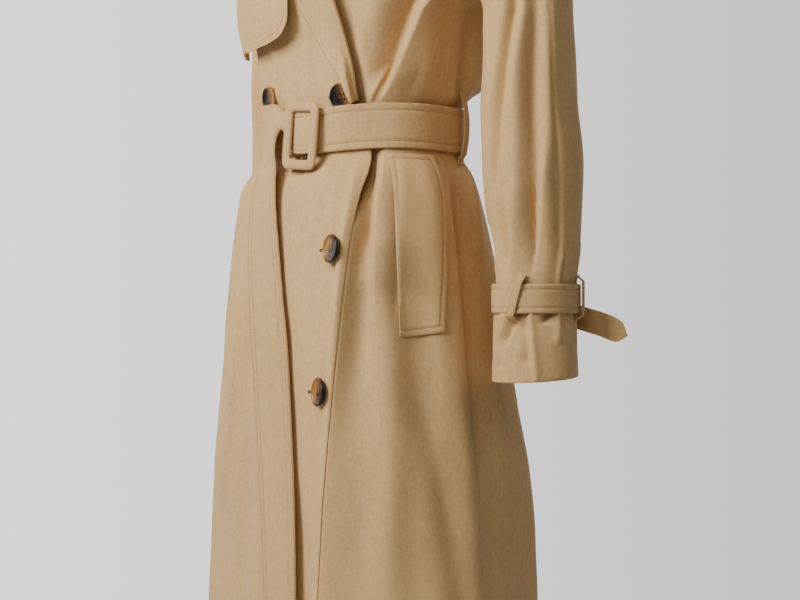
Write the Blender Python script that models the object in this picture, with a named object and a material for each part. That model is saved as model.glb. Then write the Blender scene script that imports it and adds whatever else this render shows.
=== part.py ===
"""A double-breasted trench coat, worn and belted, as hollow cloth pieces.

Metres, +Z up, the wearer faces -Y and the wearer's left is +X. The origin is
level with the base of the neck, on the body's axis.
"""

import math

import bpy
import numpy as np

# Cloth and belt sizes.
CLOTH = 0.0015
BAND = 0.0022
SEAM = 0.0003
LAP_GAP = 0.0100
WAIST_Z = -0.377
BELT_WIDTH = 0.0465
BELT_OUT = 0.0070
BELT_RISE = 0.004
BELT_BULGE = 0.0045
BELT_FLARE = 0.0014
HEM_Z = -1.150
SPLIT_Z = -0.250
SQUARENESS = 2.3

# The coat's level sections, below the armpits. A row for each height:
# z, half width, depth in front, depth behind.
RINGS = (
    (-1.150, 0.228, 0.142, 0.182),
    (-0.887, 0.200, 0.122, 0.154),
    (-0.799, 0.194, 0.119, 0.153),
    (-0.744, 0.189, 0.119, 0.149),
    (-0.667, 0.178, 0.117, 0.131),
    (-0.601, 0.170, 0.114, 0.118),
    (-0.557, 0.165, 0.112, 0.112),
    (-0.502, 0.158, 0.108, 0.104),
    (-0.447, 0.148, 0.103, 0.096),
    (-0.425, 0.139, 0.095, 0.093),
    (-0.405, 0.1255, 0.086, 0.086),
    (-0.377, 0.122, 0.085, 0.083),
    (-0.352, 0.1225, 0.086, 0.085),
    (-0.337, 0.1295, 0.088, 0.098),
    (-0.312, 0.138, 0.089, 0.112),
    (-0.284, 0.142, 0.092, 0.116),
    (-0.250, 0.150, 0.100, 0.116),
)

# Where each line of the cloth ends at the top, on the wearer's left half.
# A row for each azimuth: degrees, x, y, z, then the way it arrives there.
TOPS = (
    (0, 0.000, -0.040, -0.016, 0.00, 0.75, 0.65),
    (12, 0.032, -0.028, 0.000, 0.00, 0.85, 0.53),
    (24, 0.060, -0.011, 0.011, 0.00, 0.96, 0.27),
    (32, 0.078, 0.002, 0.012, 0.00, 1.00, 0.00),
    (44, 0.140, 0.005, -0.011, 0.37, 0.92, -0.14),
    (56, 0.205, 0.008, -0.035, 0.75, 0.75, -0.28),
    (62, 0.190, -0.040, -0.070, 0.48, 0.28, 0.22),
    (68, 0.177, -0.068, -0.120, 0.50, 0.15, 0.40),
    (74, 0.175, -0.062, -0.175, 0.55, 0.25, 0.50),
    (81, 0.180, -0.034, -0.207, 0.60, 0.10, 0.70),
    (90, 0.183, 0.005, -0.216, 0.60, 0.00, 0.80),
    (99, 0.185, 0.046, -0.207, 0.60, -0.10, 0.70),
    (106, 0.186, 0.078, -0.175, 0.55, -0.25, 0.50),
    (112, 0.188, 0.086, -0.120, 0.50, -0.15, 0.40),
    (118, 0.195, 0.058, -0.070, 0.48, -0.28, 0.22),
    (124, 0.205, 0.008, -0.035, 0.75, -0.75, -0.28),
    (136, 0.140, 0.005, -0.011, 0.37, -0.92, -0.14),
    (148, 0.078, 0.002, 0.012, 0.00, -1.00, 0.00),
    (164, 0.046, 0.046, 0.008, 0.00, -0.65, 0.76),
    (180, 0.000, 0.062, 0.004, 0.00, -0.32, 0.95),
)
CORNERS = (32, 56, 124, 148)

# The free edges of the fronts, as azimuths on the coat.
# Rows: height, the right front's edge or roll line, the left front's.
EDGES = (
    (-1.150, 33.0, -40.0),
    (-0.887, 36.5, -40.0),
    (-0.744, 40.0, -40.0),
    (-0.645, 41.5, -41.0),
    (-0.557, 44.0, -42.0),
    (-0.452, 49.5, -42.0),
    (-0.405, 54.5, -44.0),
    (-0.350, 47.5, -44.0),
    (-0.308, 44.0, -41.0),
    (-0.282, 40.5, -39.0),
    (-0.242, 35.0, -34.0),
    (-0.190, 22.0, -22.0),
    (-0.130, 1.0, -1.0),
    (-0.080, -17.0, 17.0),
    (-0.030, -32.0, 32.0),
)

# Folds of the body. Columns: panel, height and azimuth at the top, height and
# azimuth at the bottom, bow in degrees, reach towards lower and higher
# azimuths in mm, height in mm, sharpness, fade-in and fade-out lengths in m.
FOLDS = (
    ("right", -0.380, 47, -1.150, 29, -3, 34, 15, 19, 1.3, 0.12, 0.00),
    ("right", -0.395, 22, -0.520, 16, 0, 12, 16, 3, 2.0, 0.02, 0.05),
    ("right", -0.450, -42, -0.800, -54, 4, 15, 15, 5, 2.0, 0.10, 0.06),
    ("right", -0.390, -62, -1.150, -70, 0, 30, 26, 12, 2.0, 0.05, 0.00),
    ("left", -0.385, 56, -0.560, 55, 0, 9, 26, 8, 1.6, 0.01, 0.08),
    ("left", -0.480, 60, -1.150, 67, -3, 16, 22, -7, 2.0, 0.10, 0.30),
    ("left", -0.385, 82, -1.150, 77, 0, 26, 14, 10, 2.0, 0.06, 0.00),
    ("left", -0.355, 59, -0.100, 80, 2, 7, 40, 9, 1.6, 0.01, 0.09),
    ("left", -0.340, 93, -0.200, 94, 0, 24, 12, 7, 2.0, 0.01, 0.04),
    ("back", -0.340, 103, -0.200, 104, 0, 12, 16, -9, 2.0, 0.02, 0.05),
    ("back", -0.340, 135, -0.200, 130, 0, 30, 34, 8, 2.0, 0.02, 0.05),
    ("back", -0.400, 95, -0.950, 93, 0, 12, 22, -14, 2.0, 0.06, 0.30),
    ("back", -0.420, 122, -1.150, 118, 0, 26, 26, 7, 2.0, 0.15, 0.00),
    ("back", -0.400, 148, -1.150, 142, 0, 22, 22, -8, 2.0, 0.12, 0.00),
    ("back", -0.420, 172, -1.150, 170, 0, 24, 26, 8, 2.0, 0.12, 0.00),
    ("back", -0.400, 198, -1.150, 202, 0, 22, 22, -7, 2.0, 0.12, 0.00),
    ("back", -0.420, 226, -1.150, 228, 0, 26, 26, 7, 2.0, 0.12, 0.00),
    ("back", -0.400, 254, -1.150, 252, 0, 20, 20, -8, 2.0, 0.12, 0.00),
)


def smooth(x, xs, rows):
    """Interpolate rows at x, smoothly and without overshoot."""
    x = np.asarray(x, float)
    xs = np.asarray(xs, float)
    rows = np.asarray(rows, float).reshape(len(xs), -1)
    gap = np.diff(xs)[:, None]
    rise = np.diff(rows, axis=0) / gap
    slope = np.empty_like(rows)
    slope[0] = rise[0]
    slope[-1] = rise[-1]
    both = rise[:-1] * rise[1:]
    total = rise[:-1] + rise[1:]
    safe = np.where(both > 0, total, 1.0)
    slope[1:-1] = np.where(both > 0, 2.0 * both / safe, 0.0)
    flat = x.ravel()
    i = np.clip(np.searchsorted(xs, flat, side="right") - 1, 0, len(xs) - 2)
    t = np.clip((flat - xs[i]) / gap[i, 0], 0.0, 1.0)[:, None]
    a = rows[i] * (2 * t**3 - 3 * t**2 + 1) + rows[i + 1] * (3 * t**2 - 2 * t**3)
    b = slope[i] * (t**3 - 2 * t**2 + t) + slope[i + 1] * (t**3 - t**2)
    out = a + b * gap[i]
    return out.reshape(x.shape + (rows.shape[1],))


def step(x):
    """A smooth step from 0 to 1."""
    x = np.clip(x, 0.0, 1.0)
    return x * x * (3.0 - 2.0 * x)


def ring(azimuth, z):
    """Points of the level section at height z."""
    rows = np.array(RINGS)
    size = smooth(z, rows[:, 0], rows[:, 1:])
    turn = np.radians(azimuth)
    s = np.sin(turn)
    c = np.cos(turn)
    deep = np.where(c > 0, size[..., 1], size[..., 2])
    n = SQUARENESS
    radius = ((np.abs(s) / size[..., 0]) ** n + (np.abs(c) / deep) ** n) ** (-1 / n)
    return np.stack([radius * s, -radius * c, z + 0 * radius], axis=-1)


def tops(azimuth):
    """Where the cloth ends at the top and the way it arrives there."""
    turn = (np.asarray(azimuth, float) + 180.0) % 360.0 - 180.0
    side = np.where(turn < 0, -1.0, 1.0)
    angle = np.abs(turn)
    rows = np.array(TOPS, float)
    out = np.zeros(angle.shape + (6,))
    ends = (0,) + CORNERS + (180,)
    for low, high in zip(ends[:-1], ends[1:]):
        part = rows[(rows[:, 0] >= low) & (rows[:, 0] <= high)]
        here = (angle >= low) & (angle <= high)
        out[here] = smooth(angle[here], part[:, 0], part[:, 1:])
    out[..., 0] *= side
    out[..., 3] *= side
    out[..., 1] += np.where(angle < 90.0, -SEAM, SEAM) * 1.2
    return out[..., :3], out[..., 3:]


def base(azimuth, w):
    """The coat's surface without folds.

    w is the height up to SPLIT_Z. Above it, w runs evenly up each line of the
    cloth and reaches -0.03 at the shoulder, armhole or neck.
    """
    azimuth, w = np.broadcast_arrays(np.asarray(azimuth, float), np.asarray(w, float))
    low = ring(azimuth, np.minimum(w, SPLIT_Z))
    start = ring(azimuth, np.full(w.shape, SPLIT_Z))
    below = ring(azimuth, np.full(w.shape, SPLIT_Z - 0.01))
    end, way = tops(azimuth)
    length = np.linalg.norm(end - start, axis=-1, keepdims=True)
    leave = start - below
    leave = leave / np.linalg.norm(leave, axis=-1, keepdims=True) * length
    way = way * length
    t = np.clip((w - SPLIT_Z) / (-0.03 - SPLIT_Z), 0.0, 1.0)[..., None]
    high = start * (2 * t**3 - 3 * t**2 + 1) + leave * (t**3 - 2 * t**2 + t)
    high = high + end * (3 * t**2 - 2 * t**3) + way * (t**3 - t**2)
    return np.where(w[..., None] > SPLIT_Z, high, low)


def normals(azimuth, w):
    """Outward directions of the coat's surface without folds."""
    across = base(azimuth + 0.3, w) - base(azimuth - 0.3, w)
    up = base(azimuth, w + 0.0005) - base(azimuth, w - 0.0005)
    n = np.cross(across, up)
    half = np.abs(np.abs(azimuth + 0.0 * w) % 180.0 - 90.0)
    seam = (half > 33.9) & (half < 58.1) & (w > -0.0305)
    n[..., 1] = np.where(seam, 0.0, n[..., 1])
    return n / np.maximum(np.linalg.norm(n, axis=-1, keepdims=True), 1e-12)


def press(w):
    """How free the folds are: they are pressed flat under the belt."""
    return 1.0 - 0.85 * np.exp(-(((w - WAIST_Z - 0.002) / 0.036) ** 6))


def relief(azimuth, w, panel):
    """How far the folds of a panel stand out, in metres."""
    rough = np.hypot(*np.moveaxis(base(azimuth, w)[..., :2], -1, 0))
    out = np.zeros(np.broadcast(azimuth, w).shape)
    for name, z1, a1, z2, a2, bow, before, after, height, sharp, fade1, fade2 in FOLDS:
        if name != panel:
            continue
        top, bottom = max(z1, z2), min(z1, z2)
        t = np.clip((z1 - w) / (z1 - z2), 0.0, 1.0)
        centre = a1 + (a2 - a1) * t + bow * 4 * t * (1 - t)
        arc = np.radians(azimuth - centre) * rough * 1000.0
        reach = np.where(arc < 0, before, after)
        rise = np.exp(-((np.abs(arc) / reach) ** sharp)) * height * 0.001
        up, down = (fade1, fade2) if z1 > z2 else (fade2, fade1)
        if up:
            rise = rise * step((top - w) / up)
        if down:
            rise = rise * step((w - bottom) / down)
        out = out + rise * ((w <= top) | (up == 0)) * ((w >= bottom) | (down == 0))
    return out * press(w)


def edge(w, column):
    """The azimuth of a front's free edge or roll line."""
    rows = np.array(EDGES)
    return smooth(w, rows[:, 0], rows[:, column])[..., 0]


def sheet(panel, azimuth, w, out=0.0):
    """Points of a panel with its folds, moved outwards by out metres."""
    azimuth, w = np.broadcast_arrays(np.asarray(azimuth, float), np.asarray(w, float))
    lift = relief(azimuth, w, panel)
    if panel == "right":
        near = np.exp(-(((azimuth + 90.0) / 14.0) ** 2))
        lift = lift * (1 - near) + relief(azimuth + 360.0, w, "back") * near
    if panel == "left":
        wide = step((w + 0.30) / 0.08)
        under = 1.0 - step((azimuth - edge(w, 1) - 4.0 * wide) / (9.0 + 13.0 * wide))
        close = step((-0.50 - w) / 0.2)
        follow = relief(azimuth, w, "right") * close - LAP_GAP
        lift = lift * (1 - under) + follow * under
        near = np.exp(-(((azimuth - 90.0) / 8.0) ** 2))
        lift = lift * (1 - near) + relief(azimuth, w, "back") * near
    return base(azimuth, w) + normals(azimuth, w) * (lift + out)[..., None]


# The sleeves, as level sections of a hanging arm. A row for each height:
# z, centre x and y of the left one, centre x and y of the right one, radius.
SLEEVES = (
    (-0.255, 0.2200, 0.042, -0.214, 0.062, 0.0470),
    (-0.345, 0.2190, 0.045, -0.213, 0.070, 0.0500),
    (-0.411, 0.2240, 0.046, -0.216, 0.074, 0.0520),
    (-0.453, 0.2250, 0.047, -0.220, 0.075, 0.0500),
    (-0.505, 0.2280, 0.048, -0.226, 0.075, 0.0445),
    (-0.535, 0.2270, 0.047, -0.229, 0.075, 0.0425),
    (-0.556, 0.2265, 0.047, -0.230, 0.075, 0.0415),
    (-0.578, 0.2260, 0.046, -0.231, 0.075, 0.0435),
    (-0.638, 0.2260, 0.046, -0.234, 0.075, 0.0450),
)

# Folds of a sleeve. Columns: height and turn at the top, height and turn at
# the bottom, reach to both sides in mm, height in mm, fade length in m.
# The turn is 0 outwards, 90 to the front, 180 towards the body.
SLEEVE_FOLDS = (
    (-0.250, 60, -0.530, 68, 9, 3.0, 0.06),
    (-0.420, 40, -0.545, 44, 8, -4.0, 0.04),
    (-0.440, 95, -0.545, 92, 9, -4.0, 0.04),
    (-0.300, 150, -0.530, 140, 14, 3.0, 0.06),
    (-0.300, 250, -0.530, 240, 14, -3.5, 0.06),
    (-0.566, 62, -0.610, 70, 8, -3.5, 0.02),
    (-0.566, 110, -0.620, 128, 8, -3.5, 0.02),
    (-0.566, 250, -0.620, 240, 10, -3.5, 0.02),
)


def sleeve_ring(turn, z, side):
    """Points of a sleeve's section, without folds."""
    rows = np.array(SLEEVES)[::-1]
    size = smooth(z, rows[:, 0], rows[:, 1:])
    x, y = (size[..., 0], size[..., 1]) if side > 0 else (size[..., 2], size[..., 3])
    angle = np.radians(turn)
    radius = size[..., 4]
    return np.stack(
        [x + side * radius * np.cos(angle), y - radius * np.sin(angle), z + 0 * x],
        axis=-1,
    )


def armhole(turn, side):
    """Points of the armhole."""
    half = np.where(turn <= 180.0, turn, 360.0 - turn) / 180.0
    azimuth = 56.0 + 34.0 * half
    azimuth = np.where(turn <= 180.0, azimuth, 180.0 - azimuth)
    end, _ = tops(azimuth * side)
    return end


def sleeve_base(turn, v, side):
    """The sleeve's surface: v runs 0 to 1 over the cap, then is a height."""
    turn, v = np.broadcast_arrays(np.asarray(turn, float), np.asarray(v, float))
    first = SLEEVES[0][0]
    below = sleeve_ring(turn, np.minimum(v, first), side)
    start = armhole(turn, side)
    end = sleeve_ring(turn, np.full(v.shape, first), side)
    length = np.linalg.norm(end - start, axis=-1, keepdims=True)
    angle = np.radians(turn)
    leave = np.zeros(start.shape)
    leave[..., 0] = side * (0.75 + 0.25 * np.cos(angle))
    leave[..., 2] = -0.25 + 0.1 * np.cos(angle)
    start = start + leave * 2.0 * SEAM
    arrive = np.zeros(start.shape)
    arrive[..., 2] = -1.0
    t = np.clip(v, 0.0, 1.0)[..., None]
    cap = start * (2 * t**3 - 3 * t**2 + 1) + end * (3 * t**2 - 2 * t**3)
    cap = cap + leave * length * (t**3 - 2 * t**2 + t)
    cap = cap + arrive * length * (t**3 - t**2) * 0.9
    return np.where(v[..., None] > 0, cap, below)


def sleeve_lift(turn, v):
    """How far the folds of a sleeve stand out, in metres."""
    z = np.where(v > 0, SLEEVES[0][0], v)
    out = np.zeros(np.broadcast(turn, v).shape)
    for z1, a1, z2, a2, reach, height, fade in SLEEVE_FOLDS:
        t = np.clip((z1 - z) / (z1 - z2), 0.0, 1.0)
        centre = a1 + (a2 - a1) * t
        arc = np.radians((turn - centre + 180.0) % 360.0 - 180.0) * 48.0
        rise = np.exp(-((arc / reach) ** 2)) * height * 0.001
        fading = step((z1 - z) / fade) * step((z - z2) / fade)
        out = out + rise * fading * (v <= 0)
    return out


def sleeve(turn, v, side, out=0.0):
    """Points of a sleeve with its folds, moved outwards by out metres."""
    turn, v = np.broadcast_arrays(np.asarray(turn, float), np.asarray(v, float))
    lift = sleeve_lift(turn, v) + out
    away = np.zeros(turn.shape + (3,))
    angle = np.radians(turn)
    away[..., 0] = side * np.cos(angle)
    away[..., 1] = -np.sin(angle)
    return sleeve_base(turn, v, side) + away * lift[..., None]


def collection():
    """The scene's own collection."""
    return bpy.context.scene.collection


def material(name, colour, roughness):
    """A plain material of one colour."""
    made = bpy.data.materials.new(name)
    made.use_nodes = True
    shader = made.node_tree.nodes["Principled BSDF"]
    shader.inputs["Base Color"].default_value = (*colour, 1.0)
    shader.inputs["Roughness"].default_value = roughness
    made.diffuse_color = (*colour, 1.0)
    return made


def add(name, points, faces, colour, roughness=0.85, angle=40):
    """An object from points and faces, turned so that its faces look out."""
    mesh = bpy.data.meshes.new(name)
    mesh.from_pydata([tuple(p) for p in points], [], faces)
    mesh.update()
    mesh.calc_loop_triangles()
    p = np.array([v.co for v in mesh.vertices])
    t = np.array([tri.vertices for tri in mesh.loop_triangles])
    volume = np.einsum("ij,ij->i", p[t[:, 0]], np.cross(p[t[:, 1]], p[t[:, 2]])).sum()
    if volume < 0:
        mesh.flip_normals()
    mesh.shade_smooth()
    mesh.set_sharp_from_angle(angle=math.radians(angle))
    thing = bpy.data.objects.new(name, mesh)
    collection().objects.link(thing)
    mesh.materials.append(material(name, colour, roughness))
    return thing


def inward(outer, thickness, turn=1.0, closed=False):
    """The inner points of a wall behind a grid of outer points."""
    if closed:
        across = np.roll(outer, -1, 1) - np.roll(outer, 1, 1)
    else:
        across = np.gradient(outer, axis=1)
    along = np.gradient(outer, axis=0)
    n = np.cross(across, along)
    n = n / np.maximum(np.linalg.norm(n, axis=-1, keepdims=True), 1e-12) * turn
    return outer - n * thickness


def wall_mesh(outer, inner, closed=False):
    """Points and faces of a cloth wall between two grids of points.

    Columns of the grids run along their second axis; closed joins the last
    column to the first. Both faces are split along the same diagonals, so the
    wall keeps its thickness.
    """
    rows, cols = outer.shape[:2]
    points = np.concatenate([outer.reshape(-1, 3), inner.reshape(-1, 3)])
    size = rows * cols
    faces = []

    def at(i, j):
        return i * cols + (j % cols)

    for i in range(rows - 1):
        for j in range(cols if closed else cols - 1):
            a, b, c, d = at(i, j), at(i, j + 1), at(i + 1, j + 1), at(i + 1, j)
            if np.linalg.norm(points[a] - points[c]) <= np.linalg.norm(points[b] - points[d]):
                halves = ((a, b, c), (a, c, d))
            else:
                halves = ((a, b, d), (b, c, d))
            for half in halves:
                faces.append(half)
                faces.append(tuple(size + k for k in reversed(half)))
    rim = []
    for j in range(cols if closed else cols - 1):
        rim.append((at(0, j + 1), at(0, j)))
        rim.append((at(rows - 1, j), at(rows - 1, j + 1)))
    if not closed:
        for i in range(rows - 1):
            rim.append((at(i, 0), at(i + 1, 0)))
            rim.append((at(i + 1, cols - 1), at(i, cols - 1)))
    faces += [(a, b, size + b, size + a) for a, b in rim]
    return points, faces


def cloth(name, outer, colour, thickness=CLOTH, turn=1.0, closed=False):
    """A cloth wall as an object."""
    inner = inward(outer, thickness, turn, closed)
    points, faces = wall_mesh(outer, inner, closed)
    return add(name, points, faces, colour)


def spans(*parts):
    """Rows of heights from (start, end, count) parts, shared ends once."""
    found = []
    for start, end, count in parts:
        found.extend(np.linspace(start, end, count))
    return np.array(sorted(set(np.round(found, 6))))


# Rows of the body panels.
BODY_ROWS = spans(
    (HEM_Z, -0.700, 5),
    (-0.652, -0.604, 2),
    (-0.566, -0.456, 4),
    (-0.432, -0.396, 4),
    (-0.377, -0.355, 2),
    (-0.337, -0.250, 5),
    (-0.215, -0.141, 3),
    (-0.122, -0.030, 4),
)
SAND = (0.56, 0.42, 0.27)
ARMHOLE_COLS = 10

# The lapels: height, width from the roll line in degrees round the coat.
LAPEL = (
    (-0.3450, 2.0),
    (-0.3370, 4.5),
    (-0.3260, 7.0),
    (-0.31525, 9.8),
    (-0.2935, 16.3),
    (-0.27175, 22.0),
    (-0.2500, 26.0),
    (-0.2150, 27.5),
    (-0.1780, 38.0),
    (-0.1410, 46.0),
    (-0.1220, 46.0),
    (-0.09133, 35.0),
    (-0.06067, 14.0),
)
LAPEL_GAP = 0.0021
LAPEL_LIFT = 0.0075

# The storm flap: height, azimuth of its armhole side and of its free edge,
# how far it stands off in mm.
STORM = (
    (-0.283, -73, -52, 15),
    (-0.280, -73, -34, 15),
    (-0.275, -73, -17, 15),
    (-0.266, -73, -2, 15),
    (-0.250, -73, 4, 13.5),
    (-0.234, -72, 5, 11),
    (-0.215, -69, -3, 7.5),
    (-0.178, -57, -22, 4.6),
    (-0.141, -52, -36, 4.6),
    (-0.122, -51, -38, 4.2),
    (-0.0913, -52, -38, 4.2),
    (-0.0607, -53, -38, 4.2),
    (-0.036, -53, -38, 4.2),
)

# The pocket welt's corners on the wearer's left, as azimuth and height.
WELT = ((64.0, -0.404), (87.0, -0.404), (81.0, -0.590), (64.5, -0.595))

# The belt's hanging end. A row for each height: z, x and y of its edge
# towards the wearer's right, x and y of the other edge.
TAIL = (
    (-0.411, -0.0640, -0.0970, -0.0205, -0.1090),
    (-0.431, -0.0660, -0.1030, -0.0170, -0.1120),
    (-0.460, -0.0630, -0.1110, -0.0120, -0.1150),
    (-0.503, -0.0550, -0.1200, -0.0030, -0.1175),
    (-0.557, -0.0414, -0.1290, 0.0095, -0.1212),
    (-0.600, -0.0307, -0.1340, 0.0200, -0.1240),
    (-0.663, -0.0194, -0.1376, 0.0310, -0.1280),
    (-0.768, -0.0050, -0.1417, 0.0454, -0.1340),
    (-0.871, 0.0067, -0.1455, 0.0567, -0.1410),
    (-0.950, 0.0140, -0.1500, 0.0640, -0.1465),
)

# Where the belt's end goes through the buckle: degrees from its middle, how
# far out from the belt, height of its lower and upper edge in half widths.
TAIL_START = (
    (15.95, 0.0000, -1.0, 1.0),
    (12.5, 0.0025, -1.0, 1.0),
    (8.0, 0.0050, -1.0, 1.0),
    (0.0, 0.0054, -1.0, 1.0),
    (-8.0, 0.0050, -0.98, 1.0),
    (-13.0, 0.0050, -0.75, 1.0),
    (-17.5, 0.0060, -0.15, 1.0),
)

# Where it turns down: x, y, z of its inner edge and of its outer edge.
TAIL_TURN = (
    (-0.0200, -0.1010, -0.372, -0.0380, -0.0970, -0.3440),
    (-0.0245, -0.1040, -0.380, -0.0565, -0.0950, -0.3445),
    (-0.0240, -0.1070, -0.388, -0.0605, -0.0950, -0.3600),
    (-0.0225, -0.1090, -0.398, -0.0620, -0.0960, -0.3830),
)
BUCKLE_AT = 9.5
BUCKLE_LOWER = 0.004
BUCKLE_SIZE = (0.0270, 0.0365)
BUCKLE_HOLE = (0.0155, 0.0260)
BUCKLE_CORNER = 0.010
BUCKLE_BACK = 0.0138
BUCKLE_PITCH = 0.035
BUCKLE_THICK = 0.0042
BUCKLE_ROLL = -4.0

# Buttons: azimuth, height, tilt to the wearer's right in degrees and shift to
# the wearer's left in mm.
BUTTONS = (
    ("button_top_left", 38.7, -0.341, 3, 0.0),
    ("button_top_right", -35.5, -0.3375, -3, 0.0),
    ("button_mid_left", 42.0, -0.5055, 30, 0.0),
    ("button_mid_right", -16.0, -0.505, 0, 0.0),
    ("button_low_left", 38.0, -0.654, 33, 7.0),
    ("button_low_right", -3.0, -0.654, 0, 0.0),
)
WELT_GAP = 0.0012
BUTTON_RADIUS = 0.0152
BUTTON_RIM = 0.0046
BUTTON_DISH = 0.0030
SHANK = 0.16

# The collar, a row for each place from the middle of the back to the front:
# place, base, top of the stand, edge of the fall, each as x, y, z.
COLLAR = (
    (0.00, 0.000, 0.0611, 0.0044, 0.000, 0.053, 0.041, 0.000, 0.108, -0.022),
    (0.35, 0.043, 0.0430, 0.011, 0.040, 0.039, 0.044, 0.078, 0.090, -0.014),
    (0.62, 0.073, 0.0030, 0.017, 0.068, 0.004, 0.043, 0.132, 0.020, 0.006),
    (0.82, 0.063, -0.026, 0.011, 0.061, -0.022, 0.030, 0.140, -0.036, -0.008),
    (1.00, 0.051, -0.048, -0.003, 0.053, -0.043, 0.011, 0.122, -0.080, -0.036),
)


# Where a column of each front follows its main crease, as height and azimuth.
CREASE_RIGHT = (
    (-1.150, 29.0), (-0.957, 31.3), (-0.765, 35.0), (-0.572, 40.3), (-0.457, 43.7),
    (-0.380, 43.0), (-0.340, 40.0), (-0.282, 34.0), (-0.215, 22.0), (-0.190, 16.0),
    (-0.130, -6.0), (-0.080, -24.0), (-0.030, -36.0),
)
CREASE_LEFT = (
    (-1.150, 62.0), (-0.700, 58.0), (-0.560, 55.0), (-0.385, 56.0), (-0.355, 59.0),
    (-0.291, 66.0), (-0.228, 71.0), (-0.180, 72.0), (-0.122, 66.0), (-0.030, 56.0),
)


def columns(*stops):
    """Azimuths across a panel: each stop but the first has a column count."""
    parts = [stops[0]]
    start = stops[0]
    for stop, count in stops[1:]:
        share = np.linspace(0.0, 1.0, count + 1)[None, 1:]
        parts.append(start + (stop - start) * share)
        start = stop
    return np.concatenate(parts, axis=1)


def crease(table, w):
    """The azimuth of a front's main crease."""
    rows = np.array(table)
    return smooth(w, rows[:, 0], rows[:, 1])[..., 0]


def body(name, panel, azimuth, w, out=0.0):
    """A cloth wall that lies on a panel of the body, moved outwards.

    The wall is deeper where a fold is steep, so that it keeps its thickness.
    """
    azimuth, w = np.broadcast_arrays(azimuth, w)
    out = np.broadcast_to(out, w.shape)
    across = sheet(panel, azimuth + 0.5, w, out) - sheet(panel, azimuth - 0.5, w, out)
    up = sheet(panel, azimuth, w + 0.001, out) - sheet(panel, azimuth, w - 0.001, out)
    n = np.cross(across, up)
    n = n / np.maximum(np.linalg.norm(n, axis=-1, keepdims=True), 1e-12)
    slope = np.clip((n * normals(azimuth, w)).sum(-1), 0.5, 1.0)
    outer = sheet(panel, azimuth, w, out)
    inner = sheet(panel, azimuth, w, out - CLOTH / slope)
    points, faces = wall_mesh(outer, inner)
    return add(name, points, faces, SAND)


def panel_right():
    """The wearer's right front, up to its free edge and roll line."""
    w = BODY_ROWS[:, None]
    up = step((w - SPLIT_Z) / (-0.03 - SPLIT_Z))
    low = np.full(w.shape, -89.88)
    shoulder = (0.0 - 56.0 * up, ARMHOLE_COLS)
    azimuth = columns(low, shoulder, (crease(CREASE_RIGHT, w), 7), (edge(w, 1), 3))
    return body("front_right", "right", azimuth, w)


def panel_left():
    """The wearer's left front, from its hidden edge to the side seam."""
    w = BODY_ROWS[:, None]
    up = step((w - SPLIT_Z) / (-0.03 - SPLIT_Z))
    high = np.full(w.shape, 89.88)
    fold = crease(CREASE_LEFT, w)
    hidden = (35.0 + 8.0 * up, 5)
    azimuth = columns(edge(w, 2), hidden, (fold, 3), (high, ARMHOLE_COLS))
    return body("front_left", "left", azimuth, w)


def panel_back():
    """The plain back."""
    azimuth = spans(
        (90.12, 124.0, ARMHOLE_COLS + 1),
        (124.0, 148.0, 5),
        (148.0, 212.0, 9),
        (212.0, 236.0, 5),
        (236.0, 269.88, ARMHOLE_COLS + 1),
    )[None, :]
    return body("back", "back", azimuth, BODY_ROWS[:, None])


def lapel(side):
    """A lapel, folded back over its front from the roll line."""
    rows = np.array(LAPEL)
    w = rows[:, 0][:, None]
    column, panel = (1, "right") if side < 0 else (2, "left")
    roll = edge(w, column)
    u = np.linspace(0.0, 1.0, 7)[None, :]
    azimuth = roll + side * u * rows[:, 1][:, None]
    over = step((w + 0.24) / 0.06) * 0.0050 * step(u * 2.5)
    if side < 0:
        over = over + LAPEL_LIFT * step((-0.295 - w) / 0.03) * step(u * 4.0 + 0.2)
    else:
        over = over * step((azimuth - edge(w, 1) - 16.0) / 9.0) + 0.0004
    out = CLOTH + LAPEL_GAP + over + 0.0010 * np.sin(math.pi * u)
    name = "lapel_right" if side < 0 else "lapel_left"
    return body(name, panel, azimuth, w, out)


def storm_flap():
    """The gun flap that hangs over the right chest."""
    rows = np.array(STORM)
    w = rows[:, 0][:, None]
    u = np.linspace(0.0, 1.0, 9)[None, :]
    back = rows[:, 1][:, None]
    azimuth = back + (rows[:, 2][:, None] - back) * u
    out = rows[:, 3][:, None] * 0.001
    return body("storm_flap", "right", azimuth, w, out)


def welt(side):
    """A pocket welt on the front's side, made from the front's points."""
    u = np.linspace(0.0, 1.0, 6)[None, :]
    (a0, w0), (a1, w1), (a2, w2), (a3, w3) = WELT
    rows = BODY_ROWS[(BODY_ROWS > w2 + 0.01) & (BODY_ROWS < w0 - 0.003)]
    v = np.concatenate([[0.0], (rows - w2) / (w0 - w2), [1.0]])[:, None]
    top = a0 + (a1 - a0) * u
    low = a3 + (a2 - a3) * u
    azimuth = low + (top - low) * v
    w = (w3 + (w2 - w3) * u) * (1 - v) + (w0 + (w1 - w0) * u) * v
    panel = "left" if side > 0 else "right"
    name = "pocket_welt_left" if side > 0 else "pocket_welt_right"
    return body(name, panel, side * azimuth, w, CLOTH + WELT_GAP)


def belt_points(azimuth, height, out):
    """Points on the belt: height runs -1 to 1 across it."""
    turn = (np.asarray(azimuth, float) + 180.0) % 360.0 - 180.0
    rise = BELT_RISE * np.exp(-(((turn - 65.0) / 34.0) ** 2))
    w = WAIST_Z + rise + height * BELT_WIDTH / 2
    plain = ring(azimuth, np.full(np.shape(azimuth), WAIST_Z))
    level = plain.copy()
    level[..., 2] = w
    turn = np.radians(azimuth)
    away = np.stack([np.sin(turn), -np.cos(turn), 0 * turn], axis=-1)
    return level + away * np.asarray(out)[..., None]


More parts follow.
